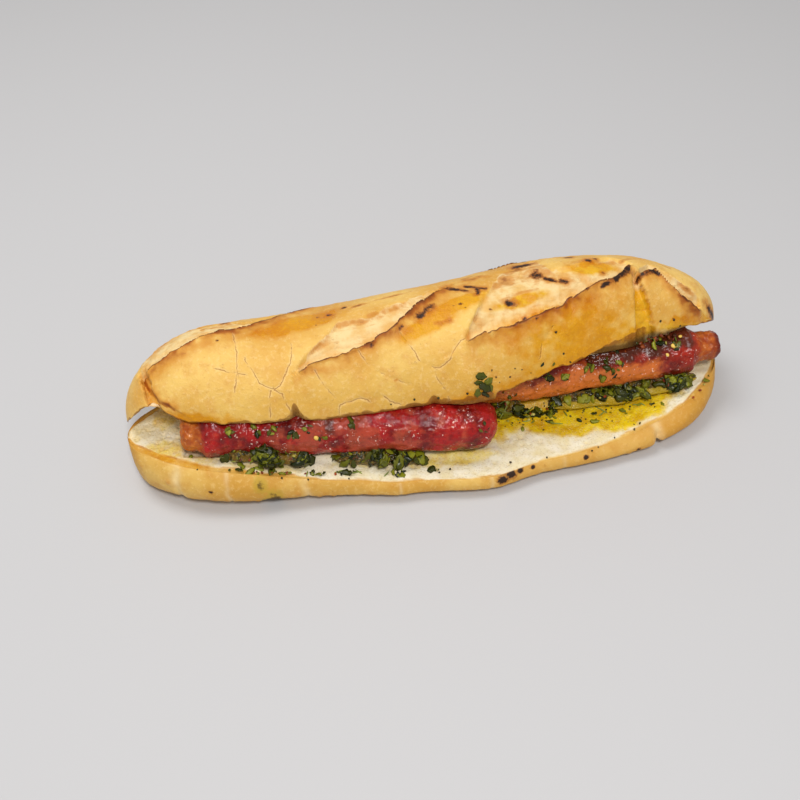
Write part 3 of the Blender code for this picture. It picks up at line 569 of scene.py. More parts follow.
def score_fields(x, v):
    """Relief of the scores, and how pale, toasted and browned each place is."""
    field = {key: np.zeros_like(x) for key in ("relief", "pale", "toast", "browned", "edge")}
    ragged = 0.0015 * layered(flat(x, v), 0.006, 11)
    for number, score in enumerate(SCORES.values()):
        line = score_lines(x, score, number)
        width = line["back"] - line["ear"]
        opened = line["along"] * smooth(width, 0.0, 0.006)
        share = np.clip((v - line["ear"]) / width, 0.0, 1.0)
        floor = SCORE_BACK_STEP + SCORE_DEPTH * (1.0 - share) - SCORE_SWELL * np.sin(np.pi * share)
        inside = smooth(v - line["ear"], 0.0, 0.0011) * (1.0 - smooth(v - line["back"], -0.0018, 0.0))
        before = np.maximum(line["ear"] - v, 0.0)
        lip = EAR_HEIGHT * np.exp(-before / EAR_LENGTH) + 0.0006 * np.exp(-before / 0.001)
        lip = lip * (v < line["ear"] + 0.0011)
        field["relief"] += score["depth"] * opened * (lip * (1.0 - inside) - floor * inside)
        bare = smooth(v - line["ear"], 0.0002, 0.001)
        bare = bare * (1.0 - smooth(v - line["pale"] + ragged, -0.0012, 0.0016))
        field["pale"] = np.maximum(field["pale"], opened * bare)
        field["toast"] = np.maximum(field["toast"], opened * bare * smooth(share, 0.35, 1.0))
        near = opened * (1.0 - smooth(v - line["ear"], 0.0001, 0.0009))
        field["browned"] = np.maximum(field["browned"], near * np.exp(-before / 0.0066))
        field["edge"] = np.maximum(field["edge"], near * np.exp(-before / 0.0008))
    return field


def on_score_edges(x, v, cell):
    """Moves each grid line that is next to an edge of a score onto it, so that the edge is crisp."""
    moved = v
    for number, score in enumerate(SCORES.values()):
        line = score_lines(x, score, number)
        line["foot"] = line["ear"] + 0.0011
        for kind in ("back", "foot", "ear"):
            near = (line["along"] > 0.0) & (np.abs(line[kind] - v) <= 0.5 * cell)
            moved = np.where(near, line[kind], moved)
    return moved


def front_start(x, station):
    """Angle at which the dome starts at the cut edge, with a torn notch and a ragged wander."""
    torn = 9.0 * hump(x, -0.0475, 0.0022) + 3.0 * hump(x, 0.0105, 0.0016) - 1.6 * hump(x, 0.006, 0.003)
    wander = 0.9 * noise(flat(x, 0.0 * x), 0.007, 141) + 0.6 * noise(flat(x, 0.0 * x), 0.0024, 143)
    return np.radians(np.maximum(table(station, FRONT_LIFT) + torn + wander, 0.0))


def cleft_share(x, v):
    """1 in the middle of a torn cleft, where it opens towards the cut edge, and 0 outside."""
    share = np.zeros_like(x)
    for top_x, top_v, top_wide, low_x, low_v, low_wide in 0.001 * np.array(CLEFTS):
        down = np.clip((v - top_v) / (low_v - top_v), 0.0, 1.0)
        reached = smooth(top_v + 0.002 - v, 0.0, 0.004)
        middle = top_x + (low_x - top_x) * down + 0.0008 * noise(flat(v, v), 0.0035, 5)
        away = np.abs(x - middle) / (top_wide + (low_wide - top_wide) * down)
        share = np.maximum(share, reached * (1.0 - smooth(away, 0.7, 1.1)))
    return share


def crown_layout(station, turn, around):
    """The upper half: the dome from its front edge over to the back, then the cut face under it."""
    dome_share = 1.0 - CROWN_FACE_SHARE
    sharpness = np.where(station < 0.0, CROWN_LEFT_SHARPNESS, CROWN_RIGHT_SHARPNESS)
    narrow = taper(station, sharpness)
    x = CROWN_X + station * CROWN_HALF_LENGTH
    half_width = CROWN_HALF_WIDTH * narrow
    height = CROWN_HEIGHT + CROWN_SHOULDER * hump(station, 0.6, 0.35)
    height = height - CROWN_WAIST * hump(station, -0.42, 0.3)
    height = (height + CROWN_LEFT_SHOULDER * hump(station, -0.8, 0.17)) * narrow**0.8
    tuck = table(station, FRONT_DRAWN_IN)

    start = front_start(x, station)
    angle = start + np.clip(turn / dome_share, 0.0, 1.0) * (math.pi - start)
    arc = CROWN_ARC * narrow + 1e-9
    v = (angle / math.pi - 0.5) * arc
    cell = arc * (1.0 - start / math.pi) / (around * dome_share)
    inner = (turn > 0.5 / around) & (turn < dome_share - 0.5 / around)
    v = np.where(inner, on_score_edges(x, v, cell), v)
    angle = (v / arc + 0.5) * math.pi
    cosine, sine = np.cos(angle), np.sin(angle)
    out = np.sign(cosine) * np.abs(cosine) ** (2.0 / CROWN_FULLNESS)
    up = np.abs(sine) ** (2.0 / CROWN_FULLNESS)
    out = out * np.where(out > 0.0, 1.0 - tuck, 1.0)
    field = score_fields(x, v)
    cleft = cleft_share(x, v)
    beyond = nearest_line(x, v, [PLATE_EDGE])
    stands = 0.0012 * smooth(beyond, -0.0004, 0.0006) * (np.abs(beyond) < 0.02)
    stands = stands * np.exp(-np.maximum(beyond, 0.0) / 0.006)
    relief = (field["relief"] - CLEFT_DEPTH * cleft + stands) * smooth(narrow, 0.15, 0.45)
    normal = np.hypot(cosine * height, sine * half_width) + 1e-9
    dome_out = half_width * out + relief * cosine * height / normal
    dome_up = height * up + relief * sine * half_width / normal

    cut = np.clip((turn - dome_share) / (1.0 - dome_share), 0.0, 1.0)
    front_out = half_width * (1.0 - tuck) * np.cos(start) ** (2.0 / CROWN_FULLNESS)
    front_up = height * np.sin(start) ** (2.0 / CROWN_FULLNESS)
    face_out = -half_width + (front_out + half_width) * cut
    face_up = front_up * cut**1.5 + CROWN_ARCH * narrow * np.sin(np.pi * cut)

    on_face = turn > dome_share + 1e-6
    out = np.where(on_face, face_out, dome_out)
    up = np.where(on_face, face_up, dome_up)
    middle_y = CROWN_Y + CROWN_YAW * station
    middle_z = CROWN_REST + half_width * math.sin(CROWN_TILT)
    middle_z = middle_z + CROWN_RISE * station + CROWN_END_LIFT * station**2
    y = middle_y - out * math.cos(CROWN_TILT) + up * math.sin(CROWN_TILT)
    z = middle_z + out * math.sin(CROWN_TILT) + up * math.cos(CROWN_TILT)
    z = np.where(on_face, pressed(x, y, z, False), z)
    from_edge = np.where(on_face, np.minimum(cut, 1.0 - cut) * 2.0 * half_width, (turn / dome_share) * arc)
    to_back = np.where(on_face, 0.0, (1.0 - turn / dome_share) * arc)
    field.update({
        "x": x, "v": v, "on_face": on_face, "narrow": narrow, "cleft": cleft, "beyond": beyond,
        "from_edge": from_edge, "to_back": to_back,
    })
    return np.stack([x, y, z], axis=-1), field


def sausage_layout(sausage, station, turn):
    """A bent casing, round at its end, with bare meat standing out at the first point of its axis."""
    share = 0.5 + 0.5 * station
    centre = along_points(sausage["axis"], share)
    ahead = along_points(sausage["axis"], share + 1e-3) - along_points(sausage["axis"], share - 1e-3)
    ahead /= np.linalg.norm(ahead, axis=-1, keepdims=True)
    side = np.cross(ahead, [0.0, 0.0, 1.0])
    side /= np.linalg.norm(side, axis=-1, keepdims=True)
    above = np.cross(side, ahead)
    round_end = np.maximum(1.0 - np.maximum(station, 0.0) ** 14, 0.0) ** 0.5
    bare_end = np.maximum(1.0 - np.maximum(-station, 0.0) ** 40, 0.0) ** 0.5
    cased = smooth(share, sausage["tip_share"] * 0.7, sausage["tip_share"] * 1.6)
    radius = sausage["tip_radius"] + (sausage["radius"] - sausage["tip_radius"]) * cased
    radius = (radius * round_end * bare_end * (1.0 + 0.02 * np.sin(17.0 * share + 1.0)))[..., None]
    around = (2.0 * np.pi * turn)[..., None]
    spots = centre + radius * (np.cos(around) * side + np.sin(around) * above)
    return spots, {"share": share, "turn": turn, "radius": radius[..., 0]}


def normals_of(spots, way):
    """Outward directions on a grid whose second axis closes on itself."""
    along = np.gradient(spots, axis=0)
    across = np.roll(spots, -1, axis=1) - np.roll(spots, 1, axis=1)
    normal = np.cross(along, across) * way
    return normal / (np.linalg.norm(normal, axis=-1, keepdims=True) + 1e-12)


def mesh_object(name, spots, faces, masks=None):
    """An object of its own, shaded smooth, with a number per vertex for each mask."""
    mesh = bpy.data.meshes.new(name)
    mesh.from_pydata([tuple(spot) for spot in spots], [], faces)
    for key, values in (masks or {}).items():
        layer = mesh.attributes.new(key, "FLOAT", "POINT")
        layer.data.foreach_set("value", np.asarray(values, dtype=np.float32))
    mesh.shade_smooth()
    mesh.update()
    made = bpy.data.objects.new(name, mesh)
    bpy.context.scene.collection.objects.link(made)
    return made


def grid_faces(rings, around, flip):
    """Faces of a closed grid with a tip at each end: tip, rings one after another, tip."""
    faces = []
    last = rings * around + 1
    for ring in range(rings - 1):
        for step in range(around):
            a, b = 1 + ring * around + step, 1 + ring * around + (step + 1) % around
            faces.append((a, b, b + around, a + around))
    for step in range(around):
        near = (step + 1) % around
        faces.append((0, 1 + near, 1 + step))
        faces.append((last, last - around + step, last - around + near))
    return [face[::-1] for face in faces] if flip else faces


def wrapped(name, along, around, layout, finish, way):
    """A closed grid: layout gives its places, and finish its fine relief and its masks."""
    even = np.linspace(-1.0, 1.0, along + 1)
    stations = even * (1.25 - 0.25 * even**4)
    station, turn = np.meshgrid(stations[1:-1], np.arange(around) / around, indexing="ij")
    spots, fields = layout(station, turn)
    relief, masks = finish(spots, fields)
    spots = spots + normals_of(spots, way) * relief[..., None]
    tips = [layout(np.array([end]), np.array([0.0]))[0][0] for end in (-1.0, 1.0)]
    joined = np.concatenate([[tips[0]], spots.reshape(-1, 3), [tips[1]]]) - CENTRE
    joined[:, 2] = np.maximum(joined[:, 2], 0.0)
    flat_masks = {
        key: np.concatenate([[values[0, 0]], values.ravel(), [values[-1, 0]]])
        for key, values in masks.items()
    }
    return mesh_object(name, joined, grid_faces(len(stations) - 2, around, way > 0), flat_masks)


def marks(x, v, rows, spots, seed):
    """How near each place is to a mark, from 0 outside its reach to 1 in the middle."""
    near = np.zeros_like(x)
    wander = layered(spots, 0.0026, seed, 3)
    for line, half_width in rows:
        away = np.abs(nearest_line(x, v, [line])) + 0.00045 * half_width * wander
        near = np.maximum(near, np.clip(1.0 - away / (0.0015 * half_width), 0.0, 1.0))
    return near


# Oil in the scores: middle (x, v), slope and reach across, in metres
OIL_IN_SCORES = [
    (-0.043, -0.003, 0.16, 0.0052), (0.018, -0.0165, 0.45, 0.0052), (0.052, -0.0165, 0.1, 0.003),
]


def crown_finish(spots, field):
    """Plates of crust with torn ears, cracks, charred spots and a ragged cut edge."""
    x, v, on_face = field["x"], field["v"], field["on_face"]
    dome = 1.0 - on_face
    soft_end = smooth(field["narrow"], 0.15, 0.5)
    pale, cleft = field["pale"], field["cleft"]
    torn = smooth(cleft, 0.25, 0.6) * smooth(x, 0.0, 0.01)
    wrinkles = np.abs(noise(spots * (1.6, 0.8, 0.8), 0.004, 23)) - 0.4
    plates = 0.00055 * layered(spots, 0.016, 3) + 0.00016 * layered(spots, 0.0045, 21) + 0.00016 * wrinkles
    stretched = spots * (1.0, 2.0, 2.0)
    fibres = 0.00045 * layered(stretched, 0.0042, 31) - 0.00035 * np.abs(noise(stretched, 0.0026, 35))
    rough = 0.0009 * layered(spots, 0.0034, 37, 3)
    relief = plates * (1.0 - pale) + fibres * pale * (1.0 - torn) + rough * torn

    wander = 0.00035 * noise(spots, 0.0024, 61)
    crack = nearest_line(x, v, CRACKS) + wander
    relief -= 0.0003 * hump(crack, 0.0, 0.0005)
    char = marks(x, v, CHARS, spots, 71)
    wide_marks = [(line, 2.6 * half_width) for line, half_width in CHARS if half_width > 0.75]
    streaks = marks(x, v, STREAKS, spots, 77) * (0.75 + 0.9 * layered(spots, 0.0055, 78))
    toast = np.maximum(0.85 * marks(x, v, wide_marks, spots, 74), streaks)
    toast = np.maximum(toast, field["toast"] * (0.45 + 0.75 * layered(stretched, 0.008, 79)))

    ragged = 0.0008 * layered(spots, 0.003, 81, 3)
    rim = (1.0 - smooth(field["from_edge"] + ragged, 0.0001, 0.0009)) * dome
    rim = rim * smooth(field["narrow"], 0.1, 0.3)
    bared = smooth(x, 0.106, 0.111) * (1.0 - smooth(x, 0.131, 0.137)) * dome
    bared = bared * (1.0 - smooth(field["from_edge"] + 2.0 * ragged, 0.0014, 0.0028))
    rim = rim * (1.0 - bared)
    back_rim = (1.0 - smooth(field["to_back"] + ragged, 0.0002, 0.0016)) * dome
    # Pores in the crumb under the crown: sunk in, and darkened in colour as painted shade (the pore mask)
    pores, _ = nearest_cell(spots, 0.0042, 91)
    crumb_relief = -0.0007 * (1.0 - smooth(pores, 0.12, 0.38)) + 0.00025 * layered(spots, 0.0022, 95)
    # The crust curls under the cut edge, less so at the ends, where the crumb shows
    curl = 0.0006 + 0.0036 * smooth(x, -0.104, -0.092) * (1.0 - smooth(x, 0.1, 0.108))
    inner = on_face * smooth(field["from_edge"] + ragged, curl, curl + 0.0012)
    relief = relief * dome + crumb_relief * inner
    relief = relief + 0.0005 * noise(spots, 0.003, 101) * np.maximum(rim, back_rim)

    heat = 0.5 + 0.5 * layered(spots, 0.022, 51)
    brown = field["browned"] * (0.7 + 0.5 * layered(spots, 0.004, 55, 3)) * (0.7 + 0.5 * heat)
    beyond = field["beyond"]
    beside = np.exp(-np.maximum(beyond, 0.0) / 0.0022) * (beyond > -0.0006) * (np.abs(beyond) < 0.012)
    brown = np.maximum(brown, beside * (0.75 + 0.5 * layered(spots, 0.003, 57, 3)))
    oil = hump(np.hypot((x - 0.086) * 0.6, (v + 0.0045) * 1.5), 0.0, 0.007)
    oil = np.maximum(oil, torn * smooth(-v, 0.014, 0.022))
    for oil_x, oil_v, slope, reach in OIL_IN_SCORES:
        away = np.hypot((x - oil_x) * 0.3, v - oil_v - slope * (x - oil_x))
        oil = np.maximum(oil, 1.6 * hump(away, 0.0, reach))
    for share, wide in ((0.8 * hump(x, -0.084, 0.016), 2.5), (0.7 * smooth(x, -0.03, 0.05), 2.0)):
        oil = np.maximum(oil, share * (1.0 - smooth(field["from_edge"] + wide * ragged, 0.001, 0.006)))
    oil = np.maximum(oil, 0.62 * hump(x, 0.074, 0.04) * smooth(-v, 0.014, 0.028))
    oil = np.clip(oil * (0.85 + 0.6 * layered(spots, 0.005, 111)), 0.0, 1.0) * dome
    # Painted shade: the cut face is darkened within about a centimetre of its edges, where the crown hangs
    # over the sausages, most of all over the right one (the under mask)
    shaded = 0.45 + 0.55 * smooth(x, 0.038, 0.052) * (1.0 - smooth(x, 0.112, 0.12))
    under = on_face * (1.0 - smooth(field["from_edge"], 0.008, 0.014)) * smooth(x, -0.095, -0.08) * shaded
    masks = {
        "under": under * (1.0 - smooth(x, 0.112, 0.122)),
        "pale": np.maximum(np.maximum(pale, torn), bared) * dome,
        "toast": np.clip(toast, 0.0, 1.0) * dome, "brown": np.clip(brown, 0.0, 1.0) * dome,
        "edge": field["edge"] * dome, "crack": np.clip(1000.0 * crack, -2.0, 2.0),
        "crack_near": (1.0 - smooth(np.abs(crack), 0.0006, 0.0012)) * dome * (1.0 - pale),
        "char": char * dome, "crumb": inner, "oil": oil,
        "rim": np.maximum(np.maximum(rim, back_rim), 0.45 * on_face * (1.0 - inner)),
        # low: painted shade, a deeper yellow laid over the lower front of the dome
        "low": smooth(-v, 0.018, 0.05) * dome, "pore": (1.0 - smooth(pores, 0.1, 0.34)) * inner,
    }
    return relief * soft_end, masks


# Oil on the lower half's cut face: x, y, reach along x, reach along y in mm, and strength
OIL_ON_HEEL = [
    (44, -27, 16, 11, 0.95), (66, -30, 22, 12, 1.0), (88, -31, 24, 11, 1.0), (108, -28, 17, 9, 0.95),
    (120, -20, 10, 10, 0.8), (72, -36, 20, 8, 0.9), (92, -37, 18, 8, 0.95), (106, -34, 12, 8, 0.95),
    (57, -25, 12, 9, 1.0), (16, -47.5, 22, 5, 0.6), (-106, -33, 9, 10, 0.6), (-92, -40, 12, 7, 0.5),
    (-62, -45, 20, 5, 0.4), (-15, -44, 22, 4.5, 0.5), (34, -34, 12, 9, 0.8), (-106, -14, 6, 8, 0.5),
]

# Along the lower half: how far its front crust reaches over onto the cut face, in mm
CRUST_OVER = [
    (-1.0, 3.5), (-0.85, 3.5), (-0.7, 2.5), (-0.5, 1.0), (-0.3, 0.3), (0.5, 0.3), (0.8, 1.0), (1.0, 2.0),
]

# Seams across the lower half's crust: x, half width and depth in mm
SEAMS = [
    (-100.5, 1.3, 0.7), (-79.5, 0.6, 0.5), (108.0, 1.4, 2.2), (31.0, 0.5, 0.4), (-47.0, 0.9, 0.4),
    (-8.0, 0.4, 0.3), (64.0, 0.5, 0.4),
]

# Burnt spots on the lower half's crust: x, z and radius in mm
BURNT_ON_HEEL = [
    (36, 6.6, 2.0), (40, 7.6, 1.8), (44, 8.2, 1.4), (50, 7.4, 0.8), (74, 7.0, 0.9), (-87, 13, 0.9),
    (-30, 2.5, 0.8), (12, 2.2, 0.9), (98, 5, 0.8),
]


def heel_finish(spots, field):
    """Open crumb on the cut face, a thin brown rim, and blistered crust with seams below it."""
    x, y, z = spots[..., 0], spots[..., 1], spots[..., 2]
    on_face = field["on_face"] * 1.0
    crust = 1.0 - on_face
    ragged = 0.0014 * layered(spots, 0.0095, 7, 4)
    over = np.where(field["across"] > 0.5, 0.001 * table(field["station"], CRUST_OVER), 0.0003)
    inward = field["from_edge"] - over + ragged
    crumb = on_face * smooth(inward, 0.0001, 0.0009)
    rim = on_face * hump(inward, 0.0003, 0.0006) * (0.55 + 0.6 * noise(spots, 0.006, 9))
    pores, number = nearest_cell(spots, 0.004, 17)
    small, _ = nearest_cell(spots, 0.0019, 27)
    # Pores in the crumb: sunk in, and darkened in colour as painted shade (the pore mask)
    pore = (1.0 - smooth(pores, 0.1, 0.18 + 0.3 * number)) * crumb
    crumb_relief = -0.0009 * pore - 0.0003 * (1.0 - smooth(small, 0.15, 0.5))
    crumb_relief = crumb_relief + 0.0006 * layered(spots, 0.006, 37, 4)
    relief = crumb * crumb_relief * (1.0 - beneath(x, y, 0.0, 0.006, 0.011))
    relief = relief - 0.0005 * on_face * (1.0 - crumb)

    blister, size = nearest_cell(spots, 0.0048, 47)
    low_band = smooth(field["down"], 0.003, 0.007)
    blisters = (1.0 - smooth(blister, 0.1, 0.38)) * (size > 0.66) * low_band * crust
    skin = 0.00055 * layered(spots, 0.013, 57) + 0.00014 * layered(spots, 0.0032, 63)
    relief += 0.00045 * blisters + crust * skin
    seam = np.zeros_like(x)
    for seam_x, wide, deep in SEAMS:
        away = x - 0.001 * seam_x - 0.0012 * noise(flat(z, z), 0.004, 67)
        cut = crust * 0.001 * deep * hump(away, 0.0, 0.001 * wide)
        relief -= cut * smooth(field["down"], 0.0005, 0.003)
        seam = np.maximum(seam, hump(away, 0.0, 0.0016 * wide) * (0.7 + 0.5 * noise(spots, 0.003, 69)))
    char = np.zeros_like(x)
    for spot_x, spot_z, radius in 0.001 * np.array(BURNT_ON_HEEL):
        away = np.hypot(x - spot_x, (z - spot_z) * 1.4) + 0.0006 * layered(spots, 0.0028, 73, 3)
        char = np.maximum(char, np.clip(1.0 - away / (1.7 * radius), 0.0, 1.0) * field["front"])
    oil = np.zeros_like(x)
    for oil_x, oil_y, reach_x, reach_y, strength in OIL_ON_HEEL:
        away = np.hypot((x - 0.001 * oil_x) / reach_x, (y - 0.001 * oil_y) / reach_y) * 1000.0
        away = away + 0.26 * layered(spots, 0.007, 77, 5)
        oil = np.maximum(oil, strength * (1.0 - smooth(away, 0.55, 1.15)))
    oil = oil * on_face
    deep = beneath(x, y, 0.002 * layered(spots, 0.005, 87), 0.009, 0.0155)
    drip = 1.3 * hump(x, -0.0615, 0.0048)
    drip = drip * (1.0 - smooth(z + 0.004 * layered(spots, 0.004, 79), 0.003, 0.017))
    drip = np.maximum(drip, 0.8 * hump(x, -0.066, 0.0035) * hump(z, 0.014, 0.004))
    brown = 0.45 * smooth(field["down"], 0.001, 0.02) + 0.35 * layered(spots, 0.016, 83)
    brown = crust * np.clip(brown + 0.8 * smooth(x, 0.0, 0.06), 0.0, 1.0)
    masks = {
        "crumb": crumb, "rim": np.clip(rim, 0.0, 1.0), "pore": pore, "oil": oil, "brown": brown,
        "drip": drip * crust * field["front"], "char": char * crust, "seam": seam * crust,
        "blister": blisters,
        "base": crust * smooth(field["depth"], 0.66, 0.8),
        "deep": deep * smooth(oil, 0.3, 0.8) * smooth(x, 0.02, 0.04) * on_face,
    }
    return relief * smooth(field["narrow"], 0.1, 0.35), masks


def sausage_finish(sausage, grilled):
    """Shrivelled casing with blisters and browned patches, and coarse meat at the bare tip."""

    def finish(spots, field):
        share, turn = field["share"], field["turn"]
        tip = sausage["tip_share"]
        bare = 1.0 - smooth(share + 0.012 * noise(spots, 0.004, 3), tip * 0.85, tip * 1.2)
        wrinkle = 1.0 - np.abs(layered(spots * (0.6, 1.0, 1.0), 0.0058, 5, 3))
        fine = layered(spots, 0.0022, 15, 3)
        lumps = layered(spots, 0.012, 25, 2)
        relief = 0.00085 * (wrinkle - 0.6) + 0.0003 * fine + 0.0006 * lumps
        lump, _ = nearest_cell(spots + 0.0008 * noise(spots, 0.002, 33)[..., None], 0.0034, 35)
        meat = np.clip(lump + 0.25 * fine, 0.0, 1.0)
        relief = relief * (1.0 - bare) + bare * (0.001 * (0.5 - meat) + 0.0004 * fine)
        relief += 0.001 * hump(share, tip * 1.35, 0.012) * (1.0 - bare)
        front = np.cos(2.0 * np.pi * (turn - (0.5 if grilled else 0.0)))
        top = np.sin(2.0 * np.pi * turn)
        patch = layered(spots, 0.011, 45, 4)
        x = spots[..., 0]
        if grilled:
            dark = smooth(x, 0.07, 0.092) * (1.0 - smooth(x, 0.124, 0.134))
            dark = dark * smooth(top + 0.45 * patch, 0.25, 0.85)
            tan = (1.0 - smooth(x, 0.108, 0.122)) * smooth(front - 0.3 * top + 0.4 * patch, 0.25, 0.95)
            burnt = bare * smooth(x + 0.0015 * patch, 0.1375, 0.1415)
        else:
            dark = smooth(0.3 - top + 0.5 * patch, 0.5, 1.1)
            dark = dark * smooth(share, 0.5, 0.6) * (1.0 - smooth(share, 0.9, 0.96))
            dark = np.maximum(dark, 0.8 * hump(x, -0.0345, 0.003) * hump(turn, 0.14, 0.07))
            tan = smooth(patch + 0.35 * front + 0.35 * hump(share, 0.52, 0.2), 0.25, 0.8)
            tan = tan * smooth(share, 0.22, 0.34) * (1.0 - smooth(share, 0.84, 0.92))
            burnt = bare * smooth(patch, 0.5, 0.9) * 0.6
        masks = {
            "bare": bare, "dark": np.clip(dark, 0.0, 1.0), "tan": np.clip(tan, 0.0, 1.0), "burnt": burnt,
            "meat": meat,
        }
        return relief * np.minimum(field["radius"] / (0.5 * sausage["radius"]), 1.0), masks

    return finish


def tone(red, green, blue):
    """A linear colour from the 0 to 255 values of a screen colour."""
    shares = (red / 255, green / 255, blue / 255)
    linear = [share / 12.92 if share <= 0.04045 else ((share + 0.055) / 1.055) ** 2.4 for share in shares]
    return (*linear, 1.0)


class Painter:
    """Makes a node material. Values may be numbers, colours or the outputs of other nodes."""

    def __init__(self, name):
        self.made = bpy.data.materials.new(name)
        self.made.use_nodes = True
        self.tree = self.made.node_tree
        self.shader = self.tree.nodes["Principled BSDF"]
        self.place = self.tree.nodes.new("ShaderNodeTexCoord").outputs["Object"]

    def feed(self, socket, value):
        if isinstance(value, bpy.types.NodeSocket):
            self.tree.links.new(value, socket)
        else:
            socket.default_value = value

    def node(self, kind, feeds):
        """Adds a shader node and feeds its inputs."""
        made = self.tree.nodes.new("ShaderNode" + kind)
        for key, value in feeds.items():
            self.feed(made.inputs[key], value)
        return made

    def mask(self, name):
        node = self.node("Attribute", {})
        node.attribute_name = name
        return node.outputs["Fac"]

    def noise(self, size, detail=4.0, rough=0.55, stretch=(1.0, 1.0, 1.0)):
        """Noise from 0 to 1 whose lumps are about one size apart, in metres."""
        place = self.node("Mapping", {"Vector": self.place, "Scale": stretch}).outputs[0]
        feeds = {"Vector": place, "Scale": 1.0 / size, "Detail": detail, "Roughness": rough}
        return self.node("TexNoise", feeds).outputs["Fac"]

    def cells(self, size):
        """Distance to the nearest of scattered points, from 0 to about 1."""
        return self.node("TexVoronoi", {"Vector": self.place, "Scale": 1.0 / size}).outputs["Distance"]

    def sum(self, operation, first, second):
        node = self.node("Math", {0: first, 1: second})
        node.operation = operation
        return node.outputs[0]

    def step(self, value, low, high):
        """0 below low, 1 above high and an S curve between."""
        node = self.node("MapRange", {"Value": value, "From Min": low, "From Max": high})
        node.interpolation_type = "SMOOTHSTEP"
        return node.outputs[0]

    def broken(self, mask, amount, grain):
        """A mask whose edge is broken up by a grain."""
        return self.sum("ADD", mask, self.sum("MULTIPLY", self.sum("SUBTRACT", grain, 0.5), amount))

    def mix(self, share, first, second, blend="MIX"):
        node = self.tree.nodes.new("ShaderNodeMix")
        node.data_type = "RGBA"
        node.blend_type = blend
        self.feed(node.inputs[0], share)
        self.feed(node.inputs[6], first)
        self.feed(node.inputs[7], second)
        return node.outputs[2]

    def lay(self, colour, *rows):
        """Lays colours over another one, one after another: mask, strength, red, green, blue."""
        for mask, strength, *shade in rows:
            colour = self.mix(self.sum("MULTIPLY", mask, strength), colour, tone(*shade))
        return colour

    def blendf(self, share, first, second):
        return self.node("Mix", {0: share, 2: first, 3: second}).outputs[0]

    def bump(self, height, distance, strength=1.0, below=None):
        feeds = {"Strength": strength, "Distance": distance, "Height": height}
        if below is not None:
            feeds["Normal"] = below
        return self.node("Bump", feeds).outputs[0]

    def finish(self, colour, roughness, normal, **settings):
        self.feed(self.shader.inputs["Base Color"], colour)
        self.feed(self.shader.inputs["Roughness"], roughness)
        if normal is not None:
            self.feed(self.shader.inputs["Normal"], normal)
        if normal is not None and "Coat_Weight" in settings:
            self.feed(self.shader.inputs["Coat Normal"], normal)
        for key, value in settings.items():
            self.shader.inputs[key.replace("_", " ")].default_value = value
        return self.made


